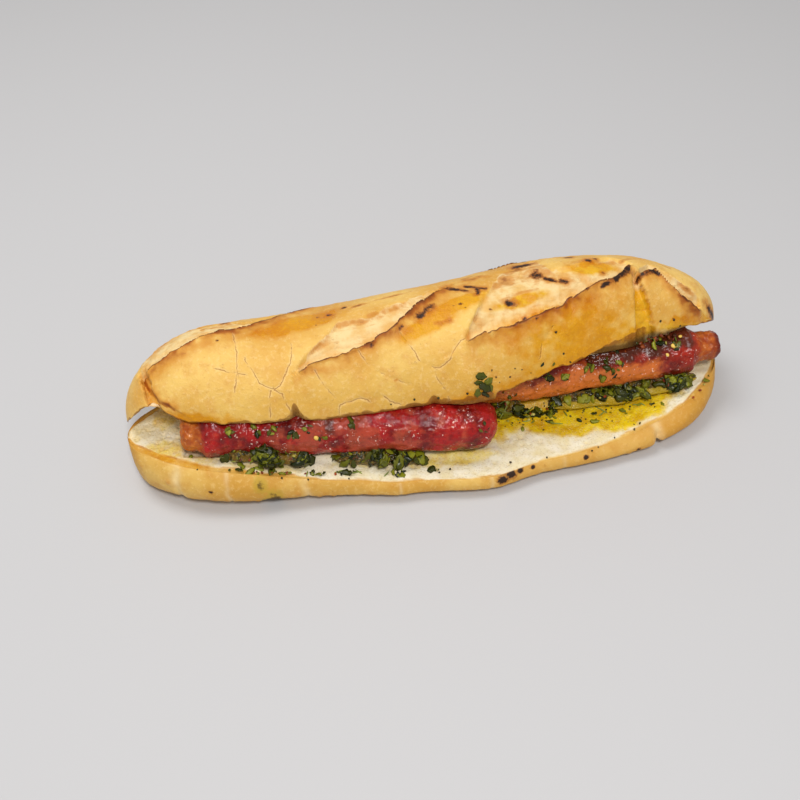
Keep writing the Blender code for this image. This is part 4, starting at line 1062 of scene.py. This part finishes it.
def crust_material():
    """Golden crust of the crown with pale floors, browned ears, char, oil and crumb under it, and painted
    shade on the dome's lower front, under its cut edges and in its crumb's pores.
    """
    p = Painter("crown_crust")
    broad, mid = p.noise(0.026), p.noise(0.0065, 5.0)
    fine, grain = p.noise(0.0016, 5.0, 0.65), p.noise(0.0006, 3.0, 0.6)
    colour = p.mix(p.step(broad, 0.36, 0.64), tone(220, 162, 66), tone(238, 196, 106))
    colour = p.lay(
        colour,
        # Painted shade: a deeper yellow on the dome's lower front
        (p.mask("low"), 0.5, 226, 180, 80),
        (p.step(mid, 0.46, 0.7), 0.45, 210, 144, 58),
        (p.step(fine, 0.5, 0.68), 0.38, 250, 214, 146),
        (p.step(p.noise(0.0011, 4.0, 0.7), 0.6, 0.7), 0.3, 186, 120, 44),
    )
    pale = p.step(p.broken(p.mask("pale"), 0.7, mid), 0.35, 0.75)
    floor = p.mix(p.step(mid, 0.38, 0.68), tone(240, 211, 151), tone(228, 182, 106))
    floor = p.lay(
        floor,
        (p.step(p.noise(0.0105, 5.0, 0.6), 0.52, 0.66), 0.5, 222, 158, 74),
        (p.step(p.noise(0.0042, 4.0, 0.6, (0.45, 1.3, 1.3)), 0.58, 0.7), 0.4, 208, 144, 66),
    )
    colour = p.mix(pale, colour, floor)
    toast = p.broken(p.mask("toast"), 0.9, p.noise(0.003, 5.0, 0.65))
    colour = p.lay(
        colour,
        (p.step(toast, 0.25, 0.75), 0.8, 204, 134, 50),
        (p.step(toast, 0.75, 1.1), 0.8, 140, 78, 24),
    )
    brown = p.broken(p.mask("brown"), 0.34, p.noise(0.0034, 5.0, 0.65))
    colour = p.lay(
        colour,
        (p.step(brown, 0.08, 0.46), 0.8, 212, 144, 50),
        (p.step(brown, 0.36, 0.8), 1.0, 168, 92, 22),
        (p.step(brown, 0.72, 1.05), 0.8, 104, 50, 16),
        (p.step(p.broken(p.mask("edge"), 0.7, mid), 0.45, 0.9), 0.75, 84, 42, 16),
    )
    rim = p.step(p.broken(p.mask("rim"), 0.9, fine), 0.35, 0.85)
    colour = p.lay(colour, (rim, 0.75, 146, 92, 28))
    wander = p.sum("MULTIPLY", p.sum("SUBTRACT", p.noise(0.0022, 5.0, 0.65), 0.5), 1.5)
    line = p.sum("ABSOLUTE", p.sum("ADD", p.mask("crack"), wander), 0.0)
    seen = p.sum("MULTIPLY", p.mask("crack_near"), p.step(p.noise(0.0075, 3.0), 0.4, 0.54))
    thin = p.sum("MULTIPLY", p.step(line, 0.3, 0.06), seen)
    light = p.sum("MULTIPLY", p.step(line, 1.1, 0.35), seen)
    colour = p.lay(
        colour,
        (light, 0.3, 252, 224, 164),
        (thin, 0.7, 164, 100, 36),
    )
    # Painted shade: dark brown under the crown's cut edges
    under = p.step(p.broken(p.mask("under"), 0.7, mid), 0.25, 0.75)
    colour = p.lay(colour, (under, 0.85, 96, 62, 20))
    crumb = p.mix(p.step(mid, 0.35, 0.7), tone(246, 232, 196), tone(232, 206, 150))
    # Painted shade: the crumb is darkened in its pores
    crumb = p.lay(crumb, (p.mask("pore"), 0.5, 208, 176, 118))
    colour = p.mix(p.mask("crumb"), colour, crumb)
    oil = p.step(p.broken(p.mask("oil"), 0.5, mid), 0.12, 0.62)
    colour = p.mix(p.sum("MULTIPLY", oil, 0.95), colour, tone(242, 210, 36), "MULTIPLY")
    char = p.broken(p.mask("char"), 2.0, p.noise(0.0024, 6.0, 0.75))
    colour = p.lay(
        colour,
        (p.step(char, 0.2, 0.6), 0.85, 142, 78, 24),
        (p.step(char, 0.55, 0.85), 1.0, 50, 27, 14),
    )
    roughness = p.blendf(oil, p.blendf(p.mask("crumb"), 0.5, 0.85), 0.24)
    crumbly = p.sum("ADD", p.sum("MULTIPLY", fine, 0.7), p.sum("MULTIPLY", grain, 0.3))
    normal = p.bump(p.sum("MULTIPLY", thin, -1.0), 0.0003, 0.5, p.bump(crumbly, 0.0006, 0.8))
    return p.finish(colour, roughness, normal, Specular_IOR_Level=0.28)


def crumb_material():
    """Open crumb, thin brown rim and golden crust of the lower half, with oil soaked in and painted shade
    in the crumb's pores and small dips.
    """
    p = Painter("heel_crumb")
    broad, mid = p.noise(0.03), p.noise(0.006, 5.0)
    fine, grain = p.noise(0.0016, 5.0, 0.65), p.noise(0.0006, 3.0, 0.6)
    crumb = p.mix(p.step(mid, 0.35, 0.7), tone(242, 232, 206), tone(234, 218, 174))
    crumb = p.lay(
        crumb,
        # Painted shade: darker crumb in the pores
        (p.mask("pore"), 0.45, 230, 208, 156),
        (p.step(p.noise(0.018, 4.0, 0.6), 0.54, 0.68), 0.4, 226, 202, 132),
    )
    crust = p.mix(p.step(broad, 0.36, 0.64), tone(210, 156, 62), tone(228, 186, 98))
    crust = p.lay(
        crust,
        (p.step(mid, 0.46, 0.7), 0.4, 204, 140, 50),
        (p.step(fine, 0.5, 0.68), 0.42, 242, 206, 130),
        (p.broken(p.mask("brown"), 0.5, mid), 0.45, 200, 136, 40),
        (p.mask("seam"), 0.6, 248, 222, 166),
        (p.mask("blister"), 0.5, 192, 118, 48),
        (p.mask("base"), 0.75, 176, 112, 52),
    )
    drip = p.broken(p.mask("drip"), 0.6, fine)
    crust = p.lay(
        crust,
        (p.step(drip, 0.2, 0.6), 0.8, 196, 160, 52),
        (p.step(drip, 0.6, 0.9), 1.0, 86, 64, 20),
    )
    char = p.broken(p.mask("char"), 1.1, p.noise(0.002, 5.0, 0.7))
    crust = p.lay(
        crust,
        (p.step(char, 0.1, 0.35), 0.7, 150, 88, 32),
        (p.step(char, 0.34, 0.52), 1.0, 48, 28, 14),
    )
    colour = p.mix(p.mask("crumb"), crust, crumb)
    rim = p.step(p.broken(p.mask("rim"), 0.6, fine), 0.3, 0.9)
    colour = p.lay(colour, (rim, 0.6, 182, 118, 46))
    oil = p.step(p.broken(p.mask("oil"), 0.9, p.noise(0.003, 5.0, 0.7)), 0.08, 0.95)
    stain = p.mix(p.step(p.noise(0.0048, 5.0, 0.6), 0.38, 0.66), tone(250, 226, 36), tone(226, 186, 26))
    colour = p.mix(oil, colour, stain, "MULTIPLY")
    deep = p.step(p.broken(p.mask("deep"), 0.9, p.noise(0.0045, 5.0, 0.6)), 0.45, 1.0)
    colour = p.lay(colour, (deep, 0.6, 190, 138, 10))
    roughness = p.blendf(oil, p.blendf(p.mask("crumb"), 0.55, 0.85), 0.25)
    # Painted shade: the crumb is darkened in small dips, which are also bumped down
    holes = p.step(p.cells(0.0011), 0.15, 0.45)
    hollow_shade = p.sum("MULTIPLY", p.sum("SUBTRACT", 1.0, holes), p.mask("crumb"))
    colour = p.lay(colour, (hollow_shade, 0.22, 214, 190, 128))
    crumbly = p.sum("ADD", p.sum("MULTIPLY", fine, 0.7), p.sum("MULTIPLY", grain, 0.3))
    crumbly = p.sum("ADD", crumbly, p.sum("MULTIPLY", p.sum("MULTIPLY", holes, p.mask("crumb")), 0.4))
    normal = p.bump(crumbly, 0.0006, 0.6)
    return p.finish(colour, roughness, normal, Specular_IOR_Level=0.3)


def casing_material(name, grilled):
    """Glossy shrivelled casing, browned in places, with painted glints and coarse meat where it stands
    bare.
    """
    p = Painter(name)
    broad, mid, fine = p.noise(0.01, 5.0, 0.6), p.noise(0.0036, 5.0, 0.62), p.noise(0.0013, 4.0, 0.65)
    deep, bright = (tone(92, 12, 6), tone(160, 34, 14)) if grilled else (tone(98, 7, 8), tone(176, 26, 24))
    colour = p.mix(p.step(broad, 0.32, 0.66), deep, bright)
    colour = p.lay(colour, (p.step(mid, 0.5, 0.7), 0.4, 196, 74, 42))
    tan = p.step(p.broken(p.mask("tan"), 1.0, mid), 0.35, 1.0)
    colour = p.lay(colour, (tan, 0.85, 222, 122, 50) if grilled else (tan, 0.6, 190, 84, 56))
    colour = p.lay(
        colour,
        (p.step(fine, 0.58, 0.72), 0.22, 226, 136, 96),
        (p.step(fine, 0.43, 0.3), 0.55, 66, 6, 5),
        (p.step(p.noise(0.0062, 4.0, 0.6), 0.56, 0.66), 0.42, 74, 10, 8),
    )
    # Painted highlight: patches of small near-white dots laid into the casing's colour stand in for glints
    # off the wet skin
    where = p.step(p.noise(0.0058, 3.0), 0.46, 0.6)
    painted_glints = p.sum("MULTIPLY", p.step(p.noise(0.0012, 2.0, 0.5), 0.63, 0.67), where)
    colour = p.lay(colour, (painted_glints, 0.75, 255, 222, 206))
    dark = p.step(p.broken(p.mask("dark"), 0.9, p.noise(0.003, 5.0, 0.65)), 0.25, 0.8)
    colour = p.lay(colour, (dark, 0.85, 74, 30, 10))
    brown, pale = ((156, 62, 14), (190, 98, 30)) if grilled else ((176, 80, 18), (206, 116, 40))
    meat = p.mix(p.step(mid, 0.35, 0.65), tone(*brown), tone(*pale))
    meat = p.lay(
        meat,
        (p.step(p.mask("meat"), 0.45, 0.95), 0.5, 136, 52, 16),
        (p.step(fine, 0.58, 0.7), 0.4, 242, 184, 116),
    )
    colour = p.mix(p.mask("bare"), colour, meat)
    burnt = p.step(p.broken(p.mask("burnt"), 0.9, mid), 0.25, 0.95)
    colour = p.lay(colour, (burnt, 0.9, 96, 16, 10))
    rough = p.sum("ADD", p.sum("MULTIPLY", p.noise(0.0027, 2.0, 0.5), 0.8), p.sum("MULTIPLY", fine, 0.2))
    normal = p.bump(rough, 0.0011, 0.9)
    return p.finish(colour, 0.4, normal, Coat_Weight=0.6, Coat_Roughness=0.07, Specular_IOR_Level=0.05)


def leaf_material(name, dark, light, roughness):
    """Wet chopped greens: the shade mask is one number per leaf."""
    p = Painter(name)
    colour = p.mix(p.mask("shade"), dark, light)
    colour = p.mix(p.sum("MULTIPLY", p.step(p.noise(0.0009, 3.0), 0.5, 0.7), 0.4), colour, dark)
    normal = p.bump(p.noise(0.0007, 3.0), 0.0003, 0.5)
    rough = p.blendf(p.mask("shade"), roughness, roughness + 0.12)
    return p.finish(colour, rough, normal, Specular_IOR_Level=0.35)


def sauce_material():
    """Oil with minced herb in it."""
    p = Painter("sauce_oil")
    mid, fine = p.noise(0.003, 5.0, 0.6), p.noise(0.001, 4.0, 0.65)
    colour = p.mix(p.step(mid, 0.42, 0.58), tone(120, 88, 8), tone(44, 42, 6))
    colour = p.lay(
        colour,
        (p.step(fine, 0.54, 0.66), 1.0, 150, 128, 26),
        (p.step(p.noise(0.0021, 3.0), 0.6, 0.68), 1.0, 112, 46, 14),
    )
    thin = p.step(p.broken(p.mask("thin"), 0.8, mid), 0.25, 0.75)
    colour = p.lay(colour, (thin, 0.85, 196, 164, 18))
    normal = p.bump(p.sum("ADD", mid, fine), 0.0009, 0.8)
    return p.finish(colour, p.blendf(fine, 0.1, 0.3), normal, Coat_Weight=0.4, Specular_IOR_Level=0.5)


class Scatter:
    """Collects many small closed bodies into one piece, with a shade for each."""

    def __init__(self):
        self.spots, self.faces, self.shades = [], [], []

    def add(self, spots, faces, shade):
        first = len(self.spots)
        self.spots.extend(spots)
        self.faces.extend(tuple(first + corner for corner in face) for face in faces)
        self.shades.extend([shade] * len(spots))

    def made(self, name, material):
        piece = mesh_object(name, np.array(self.spots) - CENTRE, self.faces, {"shade": self.shades})
        piece.data.materials.append(material)
        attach(piece, "root")
        return piece


def turned_frame(facing, draw):
    """Three directions of a body that lies on a surface facing this way, turned at random."""
    facing = facing.normalized()
    across = facing.cross(Vector((1.0, 0.2, 0.0))).normalized()
    ahead = across.cross(facing)
    turn = draw.uniform(-math.pi, math.pi)
    first = ahead * math.cos(turn) + across * math.sin(turn)
    return first, facing.cross(first), facing


def add_leaf(scatter, spot, facing, length, draw, shade):
    """A chopped leaf: a thin closed sheet, wide in the middle, curled and with a torn edge."""
    ahead, across, up = turned_frame(facing, draw)
    width = length * draw.uniform(0.4, 0.75)
    curl, roll = draw.uniform(-0.5, 0.3), draw.uniform(-0.8, 0.5)
    columns, rows = 6, 4
    spots, faces = [], []
    for side in (1, -1):
        for column in range(columns + 1):
            share = column / columns * 2.0 - 1.0
            half = width * (1.0 - abs(share) ** 2.6 * 0.92) * draw.uniform(0.6, 1.25)
            for row in range(rows + 1):
                over = row / rows * 2.0 - 1.0
                rise = length * (curl * share**2 + roll * (over * half / length) ** 2 * 2.0)
                edge = row in (0, rows) or column in (0, columns)
                rise += 0.0 if edge else side * 0.00012
                place = spot + ahead * (share * length) + across * (over * half) + up * (rise + 0.0001)
                spots.append(tuple(place) if side == 1 or not edge else None)
    count = (columns + 1) * (rows + 1)
    index = [number if spots[number] is not None else number - count for number in range(2 * count)]
    kept = [number for number in range(2 * count) if spots[number] is not None]
    place_of = {number: order for order, number in enumerate(kept)}
    for side in (0, 1):
        for column in range(columns):
            for row in range(rows):
                corner = side * count + column * (rows + 1) + row
                face = [corner, corner + rows + 1, corner + rows + 2, corner + 1]
                face = [place_of[index[number]] for number in face]
                faces.append(tuple(face if side == 0 else face[::-1]))
    scatter.add([spots[number] for number in kept], faces, shade)


def ball(rings, around):
    """Vertices and faces of a small round body."""
    spots = [Vector((-1.0, 0.0, 0.0))]
    for ring in range(1, rings):
        angle = math.pi * ring / rings
        for step in range(around):
            turn = 2.0 * math.pi * step / around
            spot = (-math.cos(angle), math.sin(angle) * math.cos(turn), math.sin(angle) * math.sin(turn))
            spots.append(Vector(spot))
    return spots + [Vector((1.0, 0.0, 0.0))], grid_faces(rings - 1, around, False)


BALL_SPOTS, BALL_FACES = ball(6, 8)


def add_bit(scatter, spot, facing, size, draw, shade, rough=0.2):
    """A chopped bit or a seed: a round body of these half sizes, roughened."""
    ahead, across, up = turned_frame(facing, draw)
    placed = []
    for corner in BALL_SPOTS:
        push = 1.0 + draw.uniform(-rough, rough)
        along, beside, above = (corner[axis] * size[axis] * push for axis in range(3))
        placed.append(tuple(spot + ahead * along + across * beside + up * above))
    scatter.add(placed, BALL_FACES, shade)


def front_edge(x):
    """y of the lower half's front edge at x."""
    station = np.array([(x - HEEL_X) / HEEL_HALF_LENGTH])
    narrow = heel_narrow(station)
    bulge = 0.001 * table(station, HEEL_BULGE) * narrow
    return float((HEEL_Y + HEEL_YAW * station - HEEL_HALF_WIDTH * narrow - bulge)[0])


def ground(x, y):
    """Height of the lower half's cut face."""
    return float(heel_face(np.array([x]), np.array([y]))[0])


def on_ground(x, y, lift):
    """A place this far above the cut face."""
    return Vector((x, y, ground(x, y) + lift))


def foot(sausage, x):
    """y of a sausage's front side at x."""
    return float(axis_at(sausage["axis"], np.array([x]))[0][0]) - sausage["radius"]


def on_sausage(sausage, x, degrees):
    """Place and outward direction on a sausage, degrees from straight up towards the front."""
    axis_y, axis_z, _ = axis_at(sausage["axis"], np.array([x]))
    out = Vector((0.0, -math.sin(math.radians(degrees)), math.cos(math.radians(degrees))))
    return Vector((x, float(axis_y[0]), float(axis_z[0]))) + out * sausage["radius"], out


def heap_layout(heap):
    """The oily core of a heap: a low ridge along the foot of its sausage."""

    def layout(station, turn):
        x = 0.5 * (heap["from"] + heap["to"]) + 0.5 * station * (heap["to"] - heap["from"])
        narrow = taper(station, 2.4) * (1.0 + 0.15 * np.sin(9.0 * station + 2.0))
        axis_y, axis_z, _ = axis_at(heap["beside"]["axis"], x)
        around = 2.0 * np.pi * turn
        y = axis_y - 0.78 * heap["beside"]["radius"] + heap["spread"] * narrow * np.cos(around)
        z = heel_face(x, y) + 0.5 * heap["rise"] * narrow * (0.96 + np.sin(around))
        away = np.hypot(y - axis_y, z - axis_z)
        free = np.maximum(heap["beside"]["radius"] * 0.99 / np.maximum(away, 1e-6), 1.0)
        y, z = axis_y + (y - axis_y) * free, axis_z + (z - axis_z) * free
        return np.stack([x, y, np.maximum(z, heel_face(x, y) - 0.0002)], axis=-1), {"x": x, "turn": turn}

    return layout


def heap_finish(spots, field):
    """Lumps of minced herb in the sauce."""
    top = smooth(np.sin(2.0 * np.pi * field["turn"]), -0.3, 0.3)
    relief = top * (0.0011 * layered(spots, 0.0042, 7, 3) - 0.0004 + 0.0005 * layered(spots, 0.0013, 17, 2))
    thin = smooth(-np.cos(2.0 * np.pi * field["turn"]), 0.45, 0.85) * smooth(field["x"], 0.045, 0.06)
    return relief, {"thin": thin}


def on_crown(x, v):
    """Place and outward direction on the crown's dome, from x and v in metres."""

    def place(x, v):
        station = np.array([(x - CROWN_X) / CROWN_HALF_LENGTH])
        narrow = taper(station, np.where(station < 0.0, CROWN_LEFT_SHARPNESS, CROWN_RIGHT_SHARPNESS))
        start = front_start(np.array([x]), station)
        angle = (v / (CROWN_ARC * narrow) + 0.5) * math.pi
        turn = (angle - start) / (math.pi - start) * (1.0 - CROWN_FACE_SHARE)
        return Vector(crown_layout(station, turn, CROWN_AROUND)[0][0])

    here = place(x, v)
    return here, (place(x + 0.001, v) - here).cross(place(x, v + 0.001) - here).normalized()


def scattered(draw):
    """Every leaf, bit, stem and seed of the sauce, in one collection for each kind."""
    kinds = {key: Scatter() for key in ("leaf", "bit", "pale", "stem", "seed", "speck", "meat")}

    def leaf(spot, facing, length, power=1.0, tint=1.0):
        add_leaf(kinds["leaf"], spot, facing, length, draw, tint * draw.random() ** power)

    def bit(kind, spot, facing, low, high, size=1.0, power=1.0, rough=0.2):
        halves = [size * draw.uniform(low, high) for _ in range(3)]
        add_bit(kinds[kind], spot, facing, halves, draw, draw.random() ** power, rough)

    def drop(spot, facing, size=1.0, leaf_share=0.7):
        kind = draw.random()
        if kind < leaf_share:
            leaf(spot, facing, size * (0.0008 + 0.0024 * draw.random() ** 1.6), 1.8)
        elif kind < leaf_share + 0.12:
            bit("bit", spot, facing, 0.0003, 0.0009, size)
        elif kind < leaf_share + 0.2:
            bit("pale", spot, facing, 0.0003, 0.001, size)
        else:
            long = size * draw.uniform(0.0018, 0.0044)
            add_bit(kinds["stem"], spot, facing, (long, STEM_RADIUS, STEM_RADIUS), draw, draw.random(), 0.1)

    def shift(most):
        return Vector([draw.uniform(-most, most) for _ in range(3)])

    def leaning():
        return Vector((draw.uniform(-0.4, 0.4), draw.uniform(-0.4, 0.4), 1.0))

    for heap in HEAPS.values():
        layout = heap_layout(heap)
        length = heap["to"] - heap["from"]
        tufts = [draw.uniform(-0.9, 0.9) for _ in range(max(2, int(length * TUFTS)))]
        for number in range(int(length * 1000 * heap["dense"])):
            station, turn = draw.uniform(-0.98, 0.98), draw.triangular(0.14, heap["reach"], 0.4)
            if draw.random() < 0.6:
                station = min(max(draw.gauss(draw.choice(tufts), 0.0028 / length), -0.98), 0.98)
            x = 0.5 * (heap["from"] + heap["to"]) + 0.5 * station * length
            if heap["from"] > RIGHT_HEAP_FROM:
                turn = 0.14 + (turn - 0.14) * (0.7 + 0.3 * float(smooth(x, 0.088, 0.102)))
            spot = Vector(layout(np.array([station]), np.array([turn]))[0][0])
            out = Vector((0.3 * station, math.cos(2.0 * math.pi * turn), math.sin(2.0 * math.pi * turn)))
            tilt = shift(0.9)
            if number % 3 == 0:
                leaf(spot + out * 0.0007, out + 0.45 * tilt, draw.uniform(0.0016, 0.0042), 2.0)
            else:
                drop(spot + out * draw.uniform(0.0, 0.001), out + tilt, 1.1, 0.74)
        # Loose pieces lie in small groups in front of the heap
        groups = LOOSE_GROUPS if heap["reach"] > 0.5 else FEW_LOOSE_GROUPS
        for _ in range(int(length * groups)):
            group_x = draw.uniform(heap["from"] - 0.003, heap["to"] + 0.003)
            reach = 0.8 + abs(draw.gauss(0.0, 0.42))
            for _ in range(draw.randint(1, 4)):
                x = group_x + draw.gauss(0.0, 0.0018)
                y = foot(heap["beside"], x) - heap["spread"] * reach + draw.gauss(0.0, 0.0008)
                y = max(y, front_edge(x) + 0.006)
                lean = leaning()
                drop(on_ground(x, y, 0.0003), lean, draw.uniform(0.5, 1.0))
    for sausage, spots in ((LEFT_SAUSAGE, LEAVES_ON_LEFT), (RIGHT_SAUSAGE, LEAVES_ON_RIGHT)):
        for x, degrees, size in spots:
            for near in range(4):
                at_x, at_degrees = 0.001 * x + draw.gauss(0.0, 0.0011), degrees + draw.gauss(0.0, 6.0)
                place, out = on_sausage(sausage, at_x, at_degrees)
                long = 0.0023 * size * draw.uniform(0.45, 1.15)
                leaf(place + out * (0.0002 + 0.0003 * near), out + shift(0.5), long, 1.6)
    for x, y, size in LEAVES_ON_HEEL:
        leaf(on_ground(0.001 * x, 0.001 * y, 0.0005), Vector((0.0, -0.2, 1.0)), 0.0024 * size)
    for x, v, size in LEAVES_ON_CROWN:
        spot, out = on_crown(0.001 * x, 0.001 * v)
        leaf(spot + out * 0.0006, out, 0.001 * size, 1.0, 0.55)
    for _ in range(DROPS_ON_HEEL):
        x, y = draw.uniform(0.036, 0.118), draw.triangular(-0.04, -0.024, -0.025)
        drop(on_ground(x, y, 0.0002), UPWARDS, draw.uniform(0.3, 0.75), 0.5)
    for _ in range(DROPS_BETWEEN_HEAPS):
        x = draw.uniform(0.05, 0.067)
        y = foot(RIGHT_SAUSAGE, x) + draw.uniform(-0.0026, 0.0012)
        drop(on_ground(x, y, 0.0006), leaning(), 1.05)
    for _ in range(SPECKS_AT_EDGE):
        x = draw.uniform(-0.095, 0.122)
        y = front_edge(x) + draw.triangular(0.002, 0.014, 0.003)
        bit("speck", on_ground(x, y, 0.0001), UPWARDS, 0.00025, 0.0006)
    # Browned scraps of meat and herb caught between the right sausage and the crown
    for _ in range(BROWNED_SCRAPS):
        x, degrees = draw.uniform(0.072, 0.121), draw.triangular(-35.0, 40.0, -4.0)
        spot, out = on_sausage(RIGHT_SAUSAGE, x, degrees)
        lift = 0.0036 * hump(degrees, -8.0, 24.0) * smooth(x, 0.07, 0.085) * (1.0 - smooth(x, 0.112, 0.122))
        spot = spot + out * float(lift * draw.random())
        if draw.random() < 0.72:
            bit("meat", spot, out, 0.0004, 0.0013, 1.0, 1.5, 0.35)
        else:
            drop(spot + out * 0.0004, out + shift(0.5), 0.9)
    for sausage, x, degrees, size in SEEDS:
        spot, out = on_sausage(sausage, 0.001 * x, degrees)
        halves = (0.0011 * size, 0.0009 * size, 0.0005 * size)
        add_bit(kinds["seed"], spot + out * 0.0005, out, halves, draw, draw.random(), 0.06)
    for x, v in SPECKS_ON_CROWN:
        spot, out = on_crown(0.001 * x, 0.001 * v)
        bit("speck", spot, out, 0.0003, 0.0006)
    for _ in range(SPECKS_ON_HEEL):
        x, y = draw.uniform(0.036, 0.112), draw.triangular(-0.042, -0.022, -0.026)
        bit("speck", on_ground(x, y, 0.0001), UPWARDS, 0.00025, 0.0005)
    return kinds


def main():
    crust, crumb = crust_material(), crumb_material()
    casing, grilled = casing_material("left_casing", False), casing_material("right_casing", True)

    crown = wrapped(
        "crown", CROWN_ALONG, CROWN_AROUND, lambda s, t: crown_layout(s, t, CROWN_AROUND), crown_finish, 1.0
    )
    heel = wrapped("heel", *HEEL_GRID, heel_layout, heel_finish, -1.0)
    left = wrapped(
        "left_sausage", *LEFT_GRID, lambda s, t: sausage_layout(LEFT_SAUSAGE, s, t),
        sausage_finish(LEFT_SAUSAGE, False), 1.0,
    )
    right = wrapped(
        "right_sausage", *RIGHT_GRID, lambda s, t: sausage_layout(RIGHT_SAUSAGE, s, t),
        sausage_finish(RIGHT_SAUSAGE, True), 1.0,
    )
    for piece, material, slot, node in (
        (crown, crust, "crust", "bread_top"), (heel, crumb, "cut_bread", "bread_bottom"),
        (left, casing, "casing", "sausage_left"), (right, grilled, "grilled_casing", "sausage_right"),
    ):
        piece.data.materials.append(material)
        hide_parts(node)
        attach(piece, "root")

    sauce = sauce_material()
    for name, heap in HEAPS.items():
        core = wrapped(
            name.replace("chimichurri", "sauce"), *SAUCE_GRID, heap_layout(heap), heap_finish, -1.0
        )
        core.data.materials.append(sauce)
        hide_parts(name)
        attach(core, "root")

    kinds = scattered(random.Random(11))
    for kind, name, dark, light, roughness in (
        ("leaf", "herb_leaves", (26, 34, 3), (146, 146, 26), 0.24),
        ("bit", "pepper_bits", (96, 30, 12), (176, 70, 24), 0.3),
        ("pale", "garlic_bits", (150, 140, 40), (214, 204, 110), 0.25),
        ("stem", "herb_stems", (84, 104, 26), (164, 172, 76), 0.35),
        ("seed", "seeds", (222, 176, 64), (244, 206, 104), 0.35),
        ("speck", "pepper_specks", (30, 22, 14), (70, 60, 22), 0.5),
        ("meat", "browned_scraps", (60, 24, 8), (164, 76, 26), 0.22),
    ):
        kinds[kind].made(name, leaf_material(name, tone(*dark), tone(*light), roughness))


def studio():
    """A plain pale floor, soft light and a camera at the photograph's viewing angle."""
    mesh = bpy.data.meshes.new("floor")
    mesh.from_pydata([(-3, -3, 0), (3, -3, 0), (3, 3, 0), (-3, 3, 0)], [], [(0, 1, 2, 3)])
    floor = bpy.data.objects.new("floor", mesh)
    bpy.context.scene.collection.objects.link(floor)
    p = Painter("floor_paper")
    mesh.materials.append(p.finish(tone(198, 197, 198), 0.75, None))

    bpy.context.scene.view_settings.view_transform = "Standard"
    world = bpy.data.worlds.new("studio")
    bpy.context.scene.world = world
    world.use_nodes = True
    world.node_tree.nodes["Background"].inputs["Color"].default_value = (1.0, 0.985, 0.96, 1.0)
    world.node_tree.nodes["Background"].inputs["Strength"].default_value = WORLD_LIGHT
    for name, place, size, power in (
        ("key", (0.06, -0.66, 1.05), 0.2, 7.3), ("top", (-0.3, 0.25, 1.0), 0.5, 4.6),
    ):
        lamp = bpy.data.lights.new(name, "AREA")
        lamp.size = size
        lamp.energy = power
        light = bpy.data.objects.new(name, lamp)
        light.location = place
        light.rotation_euler = Vector(place).to_track_quat("Z", "Y").to_euler()
        bpy.context.scene.collection.objects.link(light)

    view = bpy.data.cameras.new("camera")
    view.sensor_width = 36.0
    view.lens = CAMERA_LENS
    camera = bpy.data.objects.new("camera", view)
    level = math.cos(CAMERA_ELEVATION)
    back = Vector((
        math.sin(CAMERA_AZIMUTH) * level, -math.cos(CAMERA_AZIMUTH) * level, math.sin(CAMERA_ELEVATION)
    ))
    camera.location = Vector(tuple(-CENTRE)) + back * CAMERA_AWAY
    camera.rotation_mode = "QUATERNION"
    camera.rotation_quaternion = (-back).to_track_quat("-Z", "Y") @ Quaternion((0.0, 0.0, 1.0), CAMERA_ROLL)
    bpy.context.scene.collection.objects.link(camera)
    bpy.context.scene.camera = camera


main()
studio()
